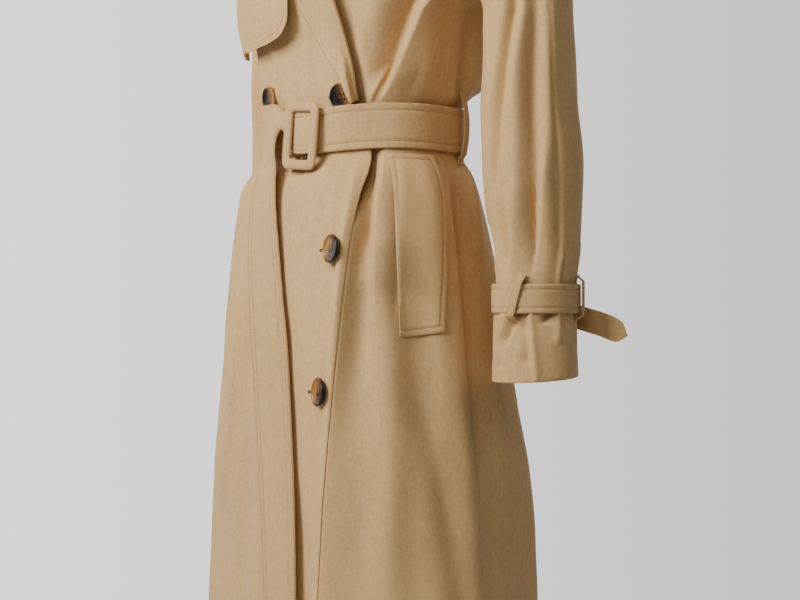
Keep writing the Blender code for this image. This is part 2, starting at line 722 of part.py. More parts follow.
def belt():
    """The belt, from its end at the buckle's bar once round the waist."""
    azimuth = np.linspace(-360.0 + BUCKLE_AT + 16.2, BUCKLE_AT + 4, 53)[None, :]
    height = np.linspace(-1.0, 1.0, 3)[:, None]
    azimuth, height = np.broadcast_arrays(azimuth, height)
    turn = (azimuth + 180.0) % 360.0 - 180.0
    bulge = np.exp(-(((np.abs(turn) - 38.0) / 13.0) ** 2)) * BELT_BULGE
    flare = step(height) * step((np.abs(turn - BUCKLE_AT) - 22.0) / 15.0) * BELT_FLARE
    out = BELT_OUT + bulge * step((height + 1.4) / 2.0) + flare
    return cloth("belt", belt_points(azimuth, height, out), SAND, BAND)


def hanging():
    """The belt's free end: through the buckle, turned down and hanging."""
    rows = np.array(TAIL)
    start = []
    for turn, out, low_at, top_at in TAIL_START:
        azimuth = np.array(BUCKLE_AT + turn)
        low = belt_points(azimuth, low_at, BELT_OUT + out)
        top = belt_points(azimuth, top_at, BELT_OUT + out)
        start.append((low, top))
    grid = [np.stack(pair) for pair in start]
    for x1, y1, z1, x2, y2, z2 in TAIL_TURN:
        grid.append(np.array([(x1, y1, z1), (x2, y2, z2)]))
    for z, x1, y1, x2, y2 in rows:
        grid.append(np.array([(x2, y2, z), (x1, y1, z)]))
    grid = np.array(grid)
    share = np.linspace(0.0, 1.0, 4)[None, :, None]
    full = grid[:, :1] * (1 - share) + grid[:, 1:] * share
    return cloth("belt_tail", full, SAND, BAND, turn=1.0)


def frame_at(azimuth, z, out):
    """A place on the belt line with its directions: along, up, outwards."""
    n = normals(np.array(azimuth), np.array(z))
    n[2] = 0.0
    n = n / np.linalg.norm(n)
    along = np.array([-n[1], n[0], 0.0])
    at = base(np.array(azimuth), np.array(z)) + n * out
    return at, along, np.array([0.0, 0.0, 1.0]), n


def rounded(half, corner, count=5):
    """The corners of a rounded rectangle, in turn."""
    found = []
    for k, (sx, sy) in enumerate(((1, 1), (-1, 1), (-1, -1), (1, -1))):
        for step_no in range(count):
            angle = math.radians(90 * k + 90 * step_no / (count - 1))
            x = sx * (half[0] - corner) + corner * math.cos(angle)
            y = sy * (half[1] - corner) + corner * math.sin(angle)
            found.append((x, y))
    return np.array(found)


def buckle():
    """The covered buckle's frame, with soft edges."""
    at, along, up, n = frame_at(BUCKLE_AT, WAIST_Z, 0.0)
    at = at - up * BUCKLE_LOWER
    roll = math.radians(BUCKLE_ROLL)
    side = along * math.cos(roll) + up * math.sin(roll)
    top = up * math.cos(roll) - along * math.sin(roll)
    low, high = BUCKLE_BACK, BUCKLE_BACK + BUCKLE_THICK
    section = (
        (0.0, low), (0.0, low + 0.0028), (0.12, high - 0.0004), (0.35, high),
        (0.65, high), (0.88, high - 0.0004), (1.0, low + 0.0028), (1.0, low),
    )
    outer = rounded(BUCKLE_SIZE, BUCKLE_CORNER)
    inner = rounded(BUCKLE_HOLE, 0.002)
    points = []
    for share, out in section:
        flat = outer + (inner - outer) * share
        for x, y in flat:
            lean = out - y * BUCKLE_PITCH
            points.append(at + side * x + top * y + n * lean)
    count = len(outer)
    faces = []
    for i in range(len(section)):
        k = (i + 1) % len(section)
        for j in range(count):
            m = (j + 1) % count
            faces.append((i * count + j, i * count + m, k * count + m, k * count + j))
    add("buckle", points, faces, (0.58, 0.45, 0.30), 0.8)
    bar = []
    for y in (-BUCKLE_HOLE[1] + 0.0003, BUCKLE_HOLE[1] - 0.0003):
        for x, out in ((-0.003, 0.0070), (0.003, 0.0070), (0.003, 0.0084), (-0.003, 0.0084)):
            bar.append(at + side * x + top * y + n * out)
    sides = [(i, (i + 1) % 4, 4 + (i + 1) % 4, 4 + i) for i in range(4)]
    add("buckle_bar", bar, sides + [(3, 2, 1, 0), (4, 5, 6, 7)], (0.2, 0.16, 0.11), 0.5)


def button(name, azimuth, z, tilt, shift):
    """A button with a rim, a dished face and its short thread shank."""
    spot = np.array([azimuth]), np.array([z])
    at = sheet("right", *spot)[0]
    n = normals(*spot)[0]
    turn = math.atan2(n[0], -n[1]) - math.radians(tilt)
    lean = math.asin(max(-0.4, min(0.4, n[2])))
    flat = np.array([math.sin(turn), -math.cos(turn), 0.0])
    side = np.array([math.cos(turn), math.sin(turn), 0.0])
    n = flat * math.cos(lean) + np.array([0.0, 0.0, math.sin(lean)])
    up = np.cross(side, -n)
    lift = 0.0010 + BUTTON_RADIUS * abs(math.sin(math.radians(tilt))) * 0.62
    at = at + side * shift * 0.001
    rim, dish = BUTTON_RIM, BUTTON_DISH
    radius = BUTTON_RADIUS
    slant = abs(math.sin(math.radians(tilt)))
    foot = 0.0004 + (radius * 0.4 * SHANK - shift * 0.0028) * slant - lift
    profile = (
        (SHANK, min(foot, -0.0002)), (SHANK, 0.0), (0.94, 0.0), (1.0, 0.3 * rim), (1.0, 0.75 * rim), (0.94, rim),
        (0.84, rim), (0.76, dish),
    )
    count = 14
    points = []
    for share, out in profile:
        for k in range(count):
            angle = 2 * math.pi * k / count
            x = radius * share * math.cos(angle)
            y = radius * share * math.sin(angle)
            points.append(at + side * x + up * y + n * (out + lift))
    faces = []
    for i in range(len(profile) - 1):
        for j in range(count):
            m = (j + 1) % count
            low, high = i * count, (i + 1) * count
            faces.append((low + j, low + m, high + m, high + j))
    faces.append(tuple(reversed(range(count))))
    faces.append(tuple(range((len(profile) - 1) * count, len(profile) * count)))
    add(name, points, faces, (0.09, 0.05, 0.025), 0.25, 50)


def strap_grid(centre, across, half):
    """A strip's grid along centre points, half wide to each side."""
    centre = np.asarray(centre, float)
    across = np.broadcast_to(np.asarray(across, float), centre.shape)
    half = np.broadcast_to(np.asarray(half, float), (len(centre),))[:, None]
    return np.stack([centre - across * half, centre + across * half], axis=1)


def belt_loop(side):
    """A narrow loop that stands off over the belt at the side seam."""
    azimuth = side * 104.0
    n = normals(np.array(azimuth), np.array(WAIST_Z))
    n[2] = 0.0
    n = n / np.linalg.norm(n)
    along = np.array([-n[1], n[0], 0.0])
    heights = (-0.4115, -0.402, -0.392, -0.370, -0.350, -0.340, -0.3325)
    centre = []
    for z in heights:
        lean = 0.0125 + 0.004 * (1 - ((z + 0.371) / 0.03) ** 2)
        plain = sheet("back", np.array([side * 104.0 % 360]), np.array([z]))[0]
        foot = plain + n * 0.0029
        over = base(np.array(azimuth), np.array(WAIST_Z)) + n * lean
        share = step((0.041 - abs(z + 0.372)) / 0.012)
        point = foot * (1 - share) + over * share
        centre.append((point[0], point[1], z))
    grid = strap_grid(centre, along, 0.005)
    name = "belt_loop_left" if side > 0 else "belt_loop_right"
    return cloth(name, grid, SAND, 0.0016, turn=1.0)


def cuff_strap(side):
    """The strap round a sleeve above its cuff."""
    turn = np.linspace(0.0, 360.0, 25)[:-1][None, :]
    across = np.linspace(-1.0, 1.0, 2)[:, None]
    z = -0.5555 + across * 0.0145
    middle = sleeve_ring(turn, np.full(turn.shape, -0.5555), side)
    angle = np.radians(turn)
    out = 0.0052
    grid = np.repeat(middle, 2, axis=0)
    grid[..., 2] = z
    grid[..., 0] += side * np.cos(angle) * out
    grid[..., 1] -= np.sin(angle) * out
    name = "cuff_strap_left" if side > 0 else "cuff_strap_right"
    cloth(name, grid, SAND, BAND, turn=-side, closed=True)
    x, y = middle[0, 0, 0] - side * 0.0415, middle[0, 0, 1]
    places = (
        (-0.0120, 0.0484, -0.5680, 0.0118),
        (0.0040, 0.0506, -0.5735, 0.0118),
        (0.0200, 0.0535, -0.5775, 0.0118),
        (0.0340, 0.0585, -0.5815, 0.0118),
        (0.0460, 0.0635, -0.5860, 0.0118),
        (0.0545, 0.0675, -0.5900, 0.0105),
        (0.0625, 0.0715, -0.5940, 0.0012),
    )
    centre = [(x + side * a, y + b, c) for a, b, c, _ in places]
    along = np.array([side * 0.85, 0.36, -0.30])
    away = np.array([side * -0.39, 0.92, 0.0])
    up = np.cross(along, away)
    up = up / np.linalg.norm(up) * -side
    grid = strap_grid(centre, up, [row[3] for row in places])
    name = "cuff_tab_left" if side > 0 else "cuff_tab_right"
    cloth(name, grid, SAND, BAND, turn=-side)
    for mark, turn_at, lean in (("front", 71.0, 8.0), ("back", -35.0, 0.0)):
        heights = (-0.5800, -0.5740, -0.5660, -0.5555, -0.5450, -0.5370, -0.5310)
        centre = []
        for k, z in enumerate(heights):
            tilt = turn_at - lean * (z + 0.5555) / 0.025
            angle = math.radians(tilt)
            foot = sleeve(np.array(tilt), np.array(z), side)
            middle = sleeve_ring(np.array(tilt), np.array(-0.5555), side)
            share = 0.0 if k in (0, 6) else 1.0
            away = np.array([side * math.cos(angle), -math.sin(angle), 0.0])
            over = middle + away * (0.0082 if mark == "front" else 0.0095)
            point = foot * (1 - share) + over * share
            point = point + away * 0.0018 * (1 - share)
            centre.append((point[0], point[1], z))
        angle = math.radians(turn_at)
        along = np.array([-side * math.sin(angle), -math.cos(angle), 0.0])
        end = "left" if side > 0 else "right"
        grid = strap_grid(centre, along, 0.0048)
        cloth(f"cuff_loop_{mark}_{end}", grid, SAND, 0.0014, turn=-side)


def collar():
    """The stand round the neck and the fall turned down over it."""
    rows = np.array(COLLAR)
    place = np.linspace(-1.0, 1.0, 21)
    found = smooth(np.abs(place), rows[:, 0], rows[:, 1:])
    side = np.where(place < 0, -1.0, 1.0)[:, None]
    low, top, rim = found[:, 0:3], found[:, 3:6], found[:, 6:9]
    for part in (low, top, rim):
        part[:, :1] *= side
    v = np.linspace(0.0, 1.0, 3)[:, None, None]
    grid = low[None] * (1 - v) + top[None] * v
    cloth("collar_stand", grid, SAND, CLOTH, turn=1.0)
    v = np.linspace(0.0, 1.0, 6)[:, None, None]
    away = rim - top
    away[:, 2] = 0.0
    away = away / np.linalg.norm(away, axis=1, keepdims=True)
    start = top + away * 0.0006 + np.array([0.0, 0.0, 0.0014])
    bulge = away[None] * 0.012 * np.sin(math.pi * v) * (1 - v)
    rise = np.array([0.0, 0.0, 0.010]) * np.sin(math.pi * v)
    grid = start[None] * (1 - v) + rim[None] * v + bulge + rise
    cloth("collar_fall", grid, SAND, CLOTH, turn=-1.0)


def sleeve_part(side):
    """One sleeve, from the armhole to its hem."""
    turn = np.linspace(0.0, 360.0, 2 * ARMHOLE_COLS + 1)[:-1][None, :]
    rows = np.concatenate(
        [
            np.linspace(1e-6, 1.0, 7),
            np.linspace(-0.285, -0.490, 6),
            np.linspace(-0.520, -0.638, 7),
        ]
    )[:, None]
    turn, rows = np.broadcast_arrays(turn, rows)
    grid = sleeve(turn, rows, side)
    share = step((-0.575 - rows) / 0.06)
    flare = 0.004 * np.cos(np.radians(turn - 80)) * share
    grid[..., 2] -= flare * (rows < -0.6)
    plain = sleeve_base(turn, rows, side)
    across = sleeve_base(turn + 2.0, rows, side) - sleeve_base(turn - 2.0, rows, side)
    before = np.where(rows > 0, np.maximum(rows - 0.01, 1e-7), rows + 0.0005)
    after = np.where(rows > 0, rows, rows - 0.0005)
    along = sleeve_base(turn, after, side) - sleeve_base(turn, before, side)
    n = np.cross(across, along) * side
    n = n / np.maximum(np.linalg.norm(n, axis=-1, keepdims=True), 1e-12)
    points, faces = wall_mesh(grid, grid - n * CLOTH, closed=True)
    name = "sleeve_left" if side > 0 else "sleeve_right"
    return add(name, points, faces, SAND)


def main():
    """Build every piece."""
    for thing in list(bpy.data.objects):
        bpy.data.objects.remove(thing, do_unlink=True)
    panel_right()
    panel_left()
    panel_back()
    storm_flap()
    belt()
    hanging()
    buckle()
    collar()
    for side in (-1, 1):
        lapel(side)
        welt(side)
        sleeve_part(side)
        belt_loop(side)
        cuff_strap(side)
    for row in BUTTONS:
        button(*row)


if __name__ == "__main__":
    main()
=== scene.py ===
"""The looks of a belted, double-breasted trench coat, worn, in sand cotton twill.

Metres, +Z up, the wearer faces -Y and the wearer's left is +X. Every cloth
piece is a thin shell on the form of its solid, with its creases laid in by
tables of folds.
"""

import logging
import math
from dataclasses import dataclass
from enum import Enum

import bpy
import numpy as np
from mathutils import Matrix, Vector


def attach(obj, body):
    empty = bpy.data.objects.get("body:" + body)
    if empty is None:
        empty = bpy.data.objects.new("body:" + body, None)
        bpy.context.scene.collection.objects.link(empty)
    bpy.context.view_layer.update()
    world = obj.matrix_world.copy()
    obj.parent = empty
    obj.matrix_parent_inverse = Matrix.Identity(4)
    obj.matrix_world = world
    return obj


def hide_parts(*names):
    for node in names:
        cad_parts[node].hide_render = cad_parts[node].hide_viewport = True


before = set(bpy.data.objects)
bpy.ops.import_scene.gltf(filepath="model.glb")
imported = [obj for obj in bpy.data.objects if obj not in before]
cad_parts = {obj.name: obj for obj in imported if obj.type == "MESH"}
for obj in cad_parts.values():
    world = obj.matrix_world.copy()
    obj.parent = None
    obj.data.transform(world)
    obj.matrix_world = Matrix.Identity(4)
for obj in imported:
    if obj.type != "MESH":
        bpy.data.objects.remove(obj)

LOG = logging.getLogger("coat")
Grid = np.ndarray
Node = bpy.types.Node
Socket = bpy.types.NodeSocket
Thing = bpy.types.Object

# Cloth and belt sizes.
CLOTH = 0.0015
BAND = 0.0022
SEAM = 0.0003
LAP_GAP = 0.0100
WAIST_Z = -0.377
BELT_WIDTH = 0.0465
BELT_OUT = 0.0070
BELT_RISE = 0.004
BELT_BULGE = 0.0045
BELT_FLARE = 0.0014
HEM_Z = -1.150
SPLIT_Z = -0.250
SQUARENESS = 2.3

# Heights w are real up to SPLIT_Z. From there they run on to TOP_W, where the
# cloth ends at the neck, the shoulders and the armholes.
TOP_W = -0.030

MM = 0.001
MM_PER_M = 1000.0

# A row of stitches: spacing, length of a stitch, half the thread's width, and
# the share of that by which a stitch's middle is lifted off the cloth.
STITCH_PITCH = 0.0033
STITCH_LENGTH = 0.0024
THREAD_RADIUS = 0.00042
THREAD_LIFT = 0.4

# A stitch is a spindle: its tail, four points round its middle, its head.
STITCH_POINTS = 6
STITCH_FACES = (
    (0, 2, 1), (0, 3, 2), (0, 4, 3), (0, 1, 4), (5, 1, 2), (5, 2, 3), (5, 3, 4), (5, 4, 1),
)

# Level sections: z, half width, depth in front, depth behind.
RINGS = (
    (-1.150, 0.228, 0.142, 0.182),
    (-0.887, 0.200, 0.122, 0.154),
    (-0.799, 0.194, 0.119, 0.153),
    (-0.744, 0.189, 0.119, 0.149),
    (-0.667, 0.178, 0.117, 0.131),
    (-0.601, 0.170, 0.114, 0.118),
    (-0.557, 0.165, 0.112, 0.112),
    (-0.502, 0.158, 0.108, 0.104),
    (-0.447, 0.148, 0.103, 0.096),
    (-0.425, 0.139, 0.095, 0.093),
    (-0.405, 0.1255, 0.086, 0.086),
    (-0.377, 0.122, 0.085, 0.083),
    (-0.352, 0.1225, 0.086, 0.085),
    (-0.337, 0.1295, 0.088, 0.098),
    (-0.312, 0.138, 0.089, 0.112),
    (-0.284, 0.142, 0.092, 0.116),
    (-0.250, 0.150, 0.100, 0.116),
)

# Where each line of the cloth ends at the top, on the wearer's left half:
# degrees, x, y, z, then the way it arrives there.
TOPS = (
    (0, 0.000, -0.040, -0.016, 0.00, 0.75, 0.65),
    (12, 0.032, -0.028, 0.000, 0.00, 0.85, 0.53),
    (24, 0.060, -0.011, 0.011, 0.00, 0.96, 0.27),
    (32, 0.078, 0.002, 0.012, 0.00, 1.00, 0.00),
    (44, 0.140, 0.005, -0.011, 0.37, 0.92, -0.14),
    (56, 0.205, 0.008, -0.035, 0.75, 0.75, -0.28),
    (62, 0.190, -0.040, -0.070, 0.48, 0.28, 0.22),
    (68, 0.177, -0.068, -0.120, 0.50, 0.15, 0.40),
    (74, 0.175, -0.062, -0.175, 0.55, 0.25, 0.50),
    (81, 0.180, -0.034, -0.207, 0.60, 0.10, 0.70),
    (90, 0.183, 0.005, -0.216, 0.60, 0.00, 0.80),
    (99, 0.185, 0.046, -0.207, 0.60, -0.10, 0.70),
    (106, 0.186, 0.078, -0.175, 0.55, -0.25, 0.50),
    (112, 0.188, 0.086, -0.120, 0.50, -0.15, 0.40),
    (118, 0.195, 0.058, -0.070, 0.48, -0.28, 0.22),
    (124, 0.205, 0.008, -0.035, 0.75, -0.75, -0.28),
    (136, 0.140, 0.005, -0.011, 0.37, -0.92, -0.14),
    (148, 0.078, 0.002, 0.012, 0.00, -1.00, 0.00),
    (164, 0.046, 0.046, 0.008, 0.00, -0.65, 0.76),
    (180, 0.000, 0.062, 0.004, 0.00, -0.32, 0.95),
)
CORNERS = (32, 56, 124, 148)

# Free edges of the fronts: height, the right front's azimuth, the left's.
EDGES = (
    (-1.150, 33.0, -40.0),
    (-0.887, 36.5, -40.0),
    (-0.744, 40.0, -40.0),
    (-0.645, 42.3, -41.0),
    (-0.557, 45.3, -42.0),
    (-0.452, 50.3, -42.0),
    (-0.405, 54.5, -44.0),
    (-0.350, 47.5, -44.0),
    (-0.308, 44.0, -41.0),
    (-0.282, 40.5, -39.0),
    (-0.242, 35.0, -34.0),
    (-0.190, 22.0, -22.0),
    (-0.130, 1.0, -1.0),
    (-0.080, -17.0, 17.0),
    (-0.030, -32.0, 32.0),
)

# Main folds of the body. Columns: panel, height and azimuth at the top, height
# and azimuth at the bottom, bow in degrees, reach towards lower and higher
# azimuths in mm, height in mm, sharpness, fade-in and fade-out lengths in m.
FOLDS = (
    ("right", -0.380, 49.9, -0.800, 38.6, -1.4, 37, 13, 20.5, 1.5, 0.12, 0.20),
    ("right", -0.600, 42.7, -1.150, 33.5, -1.0, 37, 36, 20.5, 1.4, 0.20, 0.00),
    ("right", -0.395, 22, -0.520, 16, 0, 12, 16, 3, 2.0, 0.02, 0.05),
    ("right", -0.450, -42, -0.800, -54, 4, 15, 15, 5, 2.0, 0.10, 0.06),
    ("right", -0.390, -62, -1.150, -70, 0, 30, 26, 12, 2.0, 0.05, 0.00),
    ("left", -0.385, 57.4, -0.590, 56.2, 0, 4.4, 25, 9.5, 1.7, 0.01, 0.11),
    ("left", -0.480, 62.5, -1.150, 104, -1, 20, 56, -9.5, 2.0, 0.10, 0.30),
    ("left", -0.385, 79, -0.860, 82, 0, 14, 20, 3, 2.0, 0.06, 0.30),
    ("left", -0.352, 58.5, -0.100, 80, 6.5, 2.6, 40, 9, 1.35, 0.04, 0.09),
    ("left", -0.340, 93, -0.200, 94, 0, 24, 12, 7, 2.0, 0.01, 0.04),
    ("back", -0.340, 103, -0.200, 104, 0, 12, 16, -9, 2.0, 0.02, 0.05),
    ("back", -0.340, 135, -0.200, 130, 0, 30, 34, 8, 2.0, 0.02, 0.05),
    ("back", -0.400, 95, -0.950, 93, 0, 12, 22, -14, 2.0, 0.06, 0.30),
    ("back", -0.420, 122, -1.150, 118, 0, 26, 26, 7, 2.0, 0.15, 0.00),
    ("back", -0.400, 148, -1.150, 142, 0, 22, 22, -8, 2.0, 0.12, 0.00),
    ("back", -0.420, 172, -1.150, 170, 0, 24, 26, 8, 2.0, 0.12, 0.00),
    ("back", -0.400, 198, -1.150, 202, 0, 22, 22, -7, 2.0, 0.12, 0.00),
    ("back", -0.420, 226, -1.150, 228, 0, 26, 26, 7, 2.0, 0.12, 0.00),
    ("back", -0.400, 254, -1.150, 252, 0, 20, 20, -8, 2.0, 0.12, 0.00),
)

# Creases that only the looks have, in the same columns.
CREASES = (
    ("right", -0.385, 48.6, -1.150, 29.0, -4, 2.0, 45, 3.2, 1.5, 0.05, 0.00),
    ("right", -0.385, 46.8, -1.150, 27.2, -4, 12, 3.6, -4.0, 1.7, 0.05, 0.00),
    ("right", -0.600, 50.5, -1.150, 46.0, 0, 21, 30, 8.0, 2.0, 0.16, 0.00),
    ("right", -0.500, -40, -0.800, -52, 4, 16, 6, 4.5, 1.3, 0.08, 0.08),
    ("right", -0.500, -30, -0.900, -36, 2, 9, 14, -5.0, 1.8, 0.10, 0.14),
    ("right", -0.400, 33, -0.500, 23, 0, 5, 6, 2.4, 1.3, 0.004, 0.04),
    ("right", -0.400, 12, -0.455, 9, 0, 5, 6, 1.6, 1.5, 0.004, 0.03),
    ("right", -0.402, -4, -0.450, -6, 0, 5, 6, 1.3, 1.6, 0.004, 0.03),
    ("right", -0.402, -20, -0.560, -29, 0, 6, 9, 2.6, 1.4, 0.004, 0.08),
    ("right", -0.402, -36, -0.520, -40, 0, 6, 7, -2.2, 1.6, 0.004, 0.06),
    ("right", -0.402, -52, -0.640, -58, 0, 7, 9, 3.0, 1.4, 0.004, 0.10),
    ("right", -0.402, -76, -0.600, -80, 0, 8, 8, 2.8, 1.4, 0.004, 0.10),
    ("right", -0.352, 30, -0.300, 26, 0, 5, 6, 1.6, 1.4, 0.004, 0.03),
    ("right", -0.352, 16, -0.270, 8, 0, 6, 7, 1.8, 1.5, 0.004, 0.04),
    ("right", -0.352, -6, -0.285, -10, 0, 6, 6, 1.6, 1.5, 0.004, 0.03),
    ("right", -0.352, -26, -0.240, -32, 2, 7, 7, 3.2, 1.4, 0.004, 0.05),
    ("right", -0.352, -48, -0.250, -52, 0, 7, 9, 3.0, 1.5, 0.004, 0.05),
    ("right", -0.352, -70, -0.235, -72, 0, 8, 8, 3.0, 1.5, 0.004, 0.05),
    ("right", -0.700, -14, -1.150, -20, 0, 26, 26, 5.0, 2.0, 0.20, 0.00),
    ("right", -0.640, -30, -1.150, -38, 0, 20, 22, -5.0, 2.0, 0.20, 0.00),
    ("left", -0.400, 62, -0.440, 61, 0, 3, 4, -1.6, 1.4, 0.004, 0.02),
    ("left", -0.400, 70, -0.430, 70, 0, 4, 5, 1.2, 1.5, 0.004, 0.02),
    ("left", -0.385, 54.4, -0.560, 52.4, 0, 13, 3.0, -5.5, 1.9, 0.01, 0.09),
    ("left", -0.352, 57.2, -0.110, 78.2, 6.5, 23, 2.6, -19.0, 1.6, 0.04, 0.09),
    ("left", -0.352, 53.2, -0.306, 62.5, 0, 6, 3.2, 5.5, 1.4, 0.004, 0.02),
    ("left", -0.478, 55.5, -0.556, 49.0, 0, 5, 44, 5.0, 1.6, 0.030, 0.026),
    ("left", -0.430, 60.5, -1.000, 59.5, 0, 23, 17, 8.0, 2.0, 0.12, 0.25),
    ("left", -0.600, 56, -1.150, 54, 0, 26, 34, 6.0, 2.0, 0.20, 0.00),
    ("left", -0.400, 66.5, -0.600, 62.0, 0, 9, 3.0, -2.2, 1.4, 0.02, 0.05),
    ("left", -0.352, 72, -0.300, 77, 0, 5, 7, -1.4, 1.5, 0.004, 0.03),
    ("left", -0.352, 86, -0.290, 88, 0, 5, 6, -2.2, 1.5, 0.004, 0.03),
    ("back", -0.352, 97, -0.300, 97, 0, 4, 5, 3.0, 1.3, 0.004, 0.03),
    ("back", -0.352, 112, -0.280, 110, 0, 5, 6, 2.8, 1.4, 0.004, 0.04),
    ("back", -0.352, 124, -0.260, 121, 0, 6, 7, -2.4, 1.5, 0.004, 0.05),
    ("back", -0.352, 150, -0.250, 146, 0, 6, 8, 3.2, 1.4, 0.004, 0.05),
    ("back", -0.352, 164, -0.280, 163, 0, 6, 7, -2.4, 1.5, 0.004, 0.04),
    ("back", -0.352, 178, -0.240, 178, 0, 7, 7, 3.4, 1.4, 0.004, 0.05),
    ("back", -0.352, 196, -0.270, 198, 0, 6, 7, -2.2, 1.5, 0.004, 0.04),
    ("back", -0.352, 212, -0.245, 216, 0, 8, 6, 3.2, 1.4, 0.004, 0.05),
    ("back", -0.352, 236, -0.250, 240, 0, 8, 7, 3.6, 1.4, 0.004, 0.05),
    ("back", -0.352, 256, -0.260, 257, 0, 6, 7, -2.6, 1.5, 0.004, 0.05),
    ("back", -0.402, 108, -0.520, 106, 0, 6, 8, 3.0, 1.4, 0.004, 0.06),
    ("back", -0.402, 134, -0.560, 130, 0, 7, 8, 3.0, 1.4, 0.004, 0.08),
    ("back", -0.402, 160, -0.600, 157, 0, 8, 8, 3.4, 1.4, 0.004, 0.10),
    ("back", -0.402, 184, -0.560, 185, 0, 7, 8, 3.0, 1.4, 0.004, 0.08),
    ("back", -0.402, 212, -0.600, 216, 0, 8, 8, 3.4, 1.4, 0.004, 0.10),
    ("back", -0.402, 240, -0.560, 242, 0, 7, 8, 3.0, 1.4, 0.004, 0.08),
    ("back", -0.402, 262, -0.540, 263, 0, 6, 7, 2.4, 1.4, 0.004, 0.06),
    ("back", -0.060, 134, -0.200, 128, 4, 12, 14, 3.0, 1.8, 0.03, 0.06),
    ("back", -0.060, 226, -0.210, 232, -4, 12, 14, 3.0, 1.8, 0.03, 0.06),
)

# Where a column of each front follows its main crease, as height and azimuth.
CREASE_RIGHT = (
    (-1.150, 29.0), (-0.957, 31.0), (-0.765, 34.9), (-0.572, 40.9), (-0.457, 45.4),
    (-0.380, 43.0), (-0.340, 40.0), (-0.282, 34.0), (-0.215, 22.0), (-0.190, 16.0),
    (-0.130, -6.0), (-0.080, -24.0), (-0.030, -36.0),
)
CREASE_LEFT = (
    (-1.150, 62.0), (-0.700, 58.0), (-0.560, 55.0), (-0.385, 56.0), (-0.355, 58.6),
    (-0.320, 64.2), (-0.291, 68.8), (-0.228, 75.0), (-0.180, 77.0), (-0.122, 70.0), (-0.030, 58.0),
)

# Sleeves as level sections: z, centre x and y of the left one, centre x and y
# of the right one, radius.
SLEEVES = (
    (-0.255, 0.2200, 0.042, -0.214, 0.062, 0.0470),
    (-0.345, 0.2190, 0.045, -0.213, 0.070, 0.0500),
    (-0.411, 0.2240, 0.046, -0.216, 0.074, 0.0520),
    (-0.453, 0.2250, 0.047, -0.220, 0.075, 0.0500),
    (-0.505, 0.2280, 0.048, -0.226, 0.075, 0.0445),
    (-0.535, 0.2270, 0.047, -0.229, 0.075, 0.0425),
    (-0.556, 0.2265, 0.047, -0.230, 0.075, 0.0415),
    (-0.578, 0.2260, 0.046, -0.231, 0.075, 0.0435),
    (-0.638, 0.2260, 0.046, -0.234, 0.075, 0.0450),
)

# Folds of a sleeve: height and turn at the top, height and turn at the bottom,
# reach to both sides in mm, height in mm, fade length in m. The turn is 0
# outwards, 90 to the front, 180 towards the body.
SLEEVE_FOLDS = (
    (-0.250, 60, -0.530, 68, 9, 3.0, 0.06),
    (-0.420, 40, -0.545, 44, 8, -4.0, 0.04),
    (-0.440, 95, -0.545, 92, 9, -4.0, 0.04),
    (-0.300, 150, -0.530, 140, 14, 3.0, 0.06),
    (-0.300, 250, -0.530, 240, 14, -3.5, 0.06),
    (-0.566, 62, -0.610, 70, 8, -3.5, 0.02),
    (-0.566, 110, -0.620, 128, 8, -3.5, 0.02),
    (-0.566, 250, -0.620, 240, 10, -3.5, 0.02),
)

# Creases of a sleeve that only the looks have: height and turn at the top and
# bottom, reach to lower and higher turns, height and fade.
SLEEVE_CREASES = (
    (-0.200, 30, -0.450, 45, 9, 10, -11.0, 0.09),
    (-0.200, 15, -0.420, 21, 7, 6, 3.5, 0.08),
    (-0.200, 50, -0.470, 110, 7, 7, -10.0, 0.06),
    (-0.200, 15, -0.540, 13, 2.4, 5.0, -2.8, 0.06),
    (-0.350, 30, -0.548, 51, 2.0, 15, -7.0, 0.09),
    (-0.350, 26, -0.548, 47, 12, 2.0, 4.0, 0.09),
    (-0.380, 92, -0.480, 78, 5, 6, 3.6, 0.04),
    (-0.430, 72, -0.546, 86, 9, 3, 4.4, 0.04),
    (-0.450, 96, -0.530, 90, 7, 4, -4.6, 0.03),
    (-0.500, 9, -0.548, 10, 2.5, 2.5, 2.6, 0.012),
    (-0.500, 2, -0.545, 3, 3, 3, -2.2, 0.012),
    (-0.485, 118, -0.542, 116, 4, 4, 2.6, 0.02),
    (-0.470, 142, -0.542, 140, 6, 3, -3.0, 0.02),
    (-0.485, 165, -0.542, 162, 5, 5, 2.8, 0.02),
    (-0.480, 205, -0.542, 206, 3, 6, -3.2, 0.02),
    (-0.460, 232, -0.542, 236, 3, 7, 3.0, 0.02),
    (-0.480, 275, -0.542, 272, 5, 5, 2.8, 0.02),
    (-0.470, 300, -0.542, 298, 6, 3, -3.0, 0.02),
    (-0.485, 330, -0.542, 332, 4, 5, 2.6, 0.02),
    (-0.560, 18, -0.584, 31, 6, 5, -7.0, 0.008),
    (-0.560, 8, -0.606, 14, 5, 4, 3.0, 0.010),
    (-0.560, 51, -0.642, 41, 5, 2.6, 2.6, 0.008),
    (-0.575, 352, -0.645, 352, 12, 20, 4.5, 0.012),
    (-0.560, 58, -0.625, 50, 2.6, 7, -4.0, 0.010),
    (-0.560, 62, -0.606, 92, 5, 8, -7.0, 0.010),
    (-0.563, 92, -0.625, 100, 6, 6, 2.4, 0.012),
    (-0.563, 158, -0.620, 152, 7, 5, 2.8, 0.012),
    (-0.563, 178, -0.610, 186, 4, 6, -3.2, 0.012),
    (-0.563, 206, -0.620, 212, 6, 4, 2.6, 0.012),
    (-0.563, 285, -0.620, 292, 6, 6, 2.8, 0.012),
    (-0.563, 325, -0.620, 322, 6, 4, -3.0, 0.012),
)

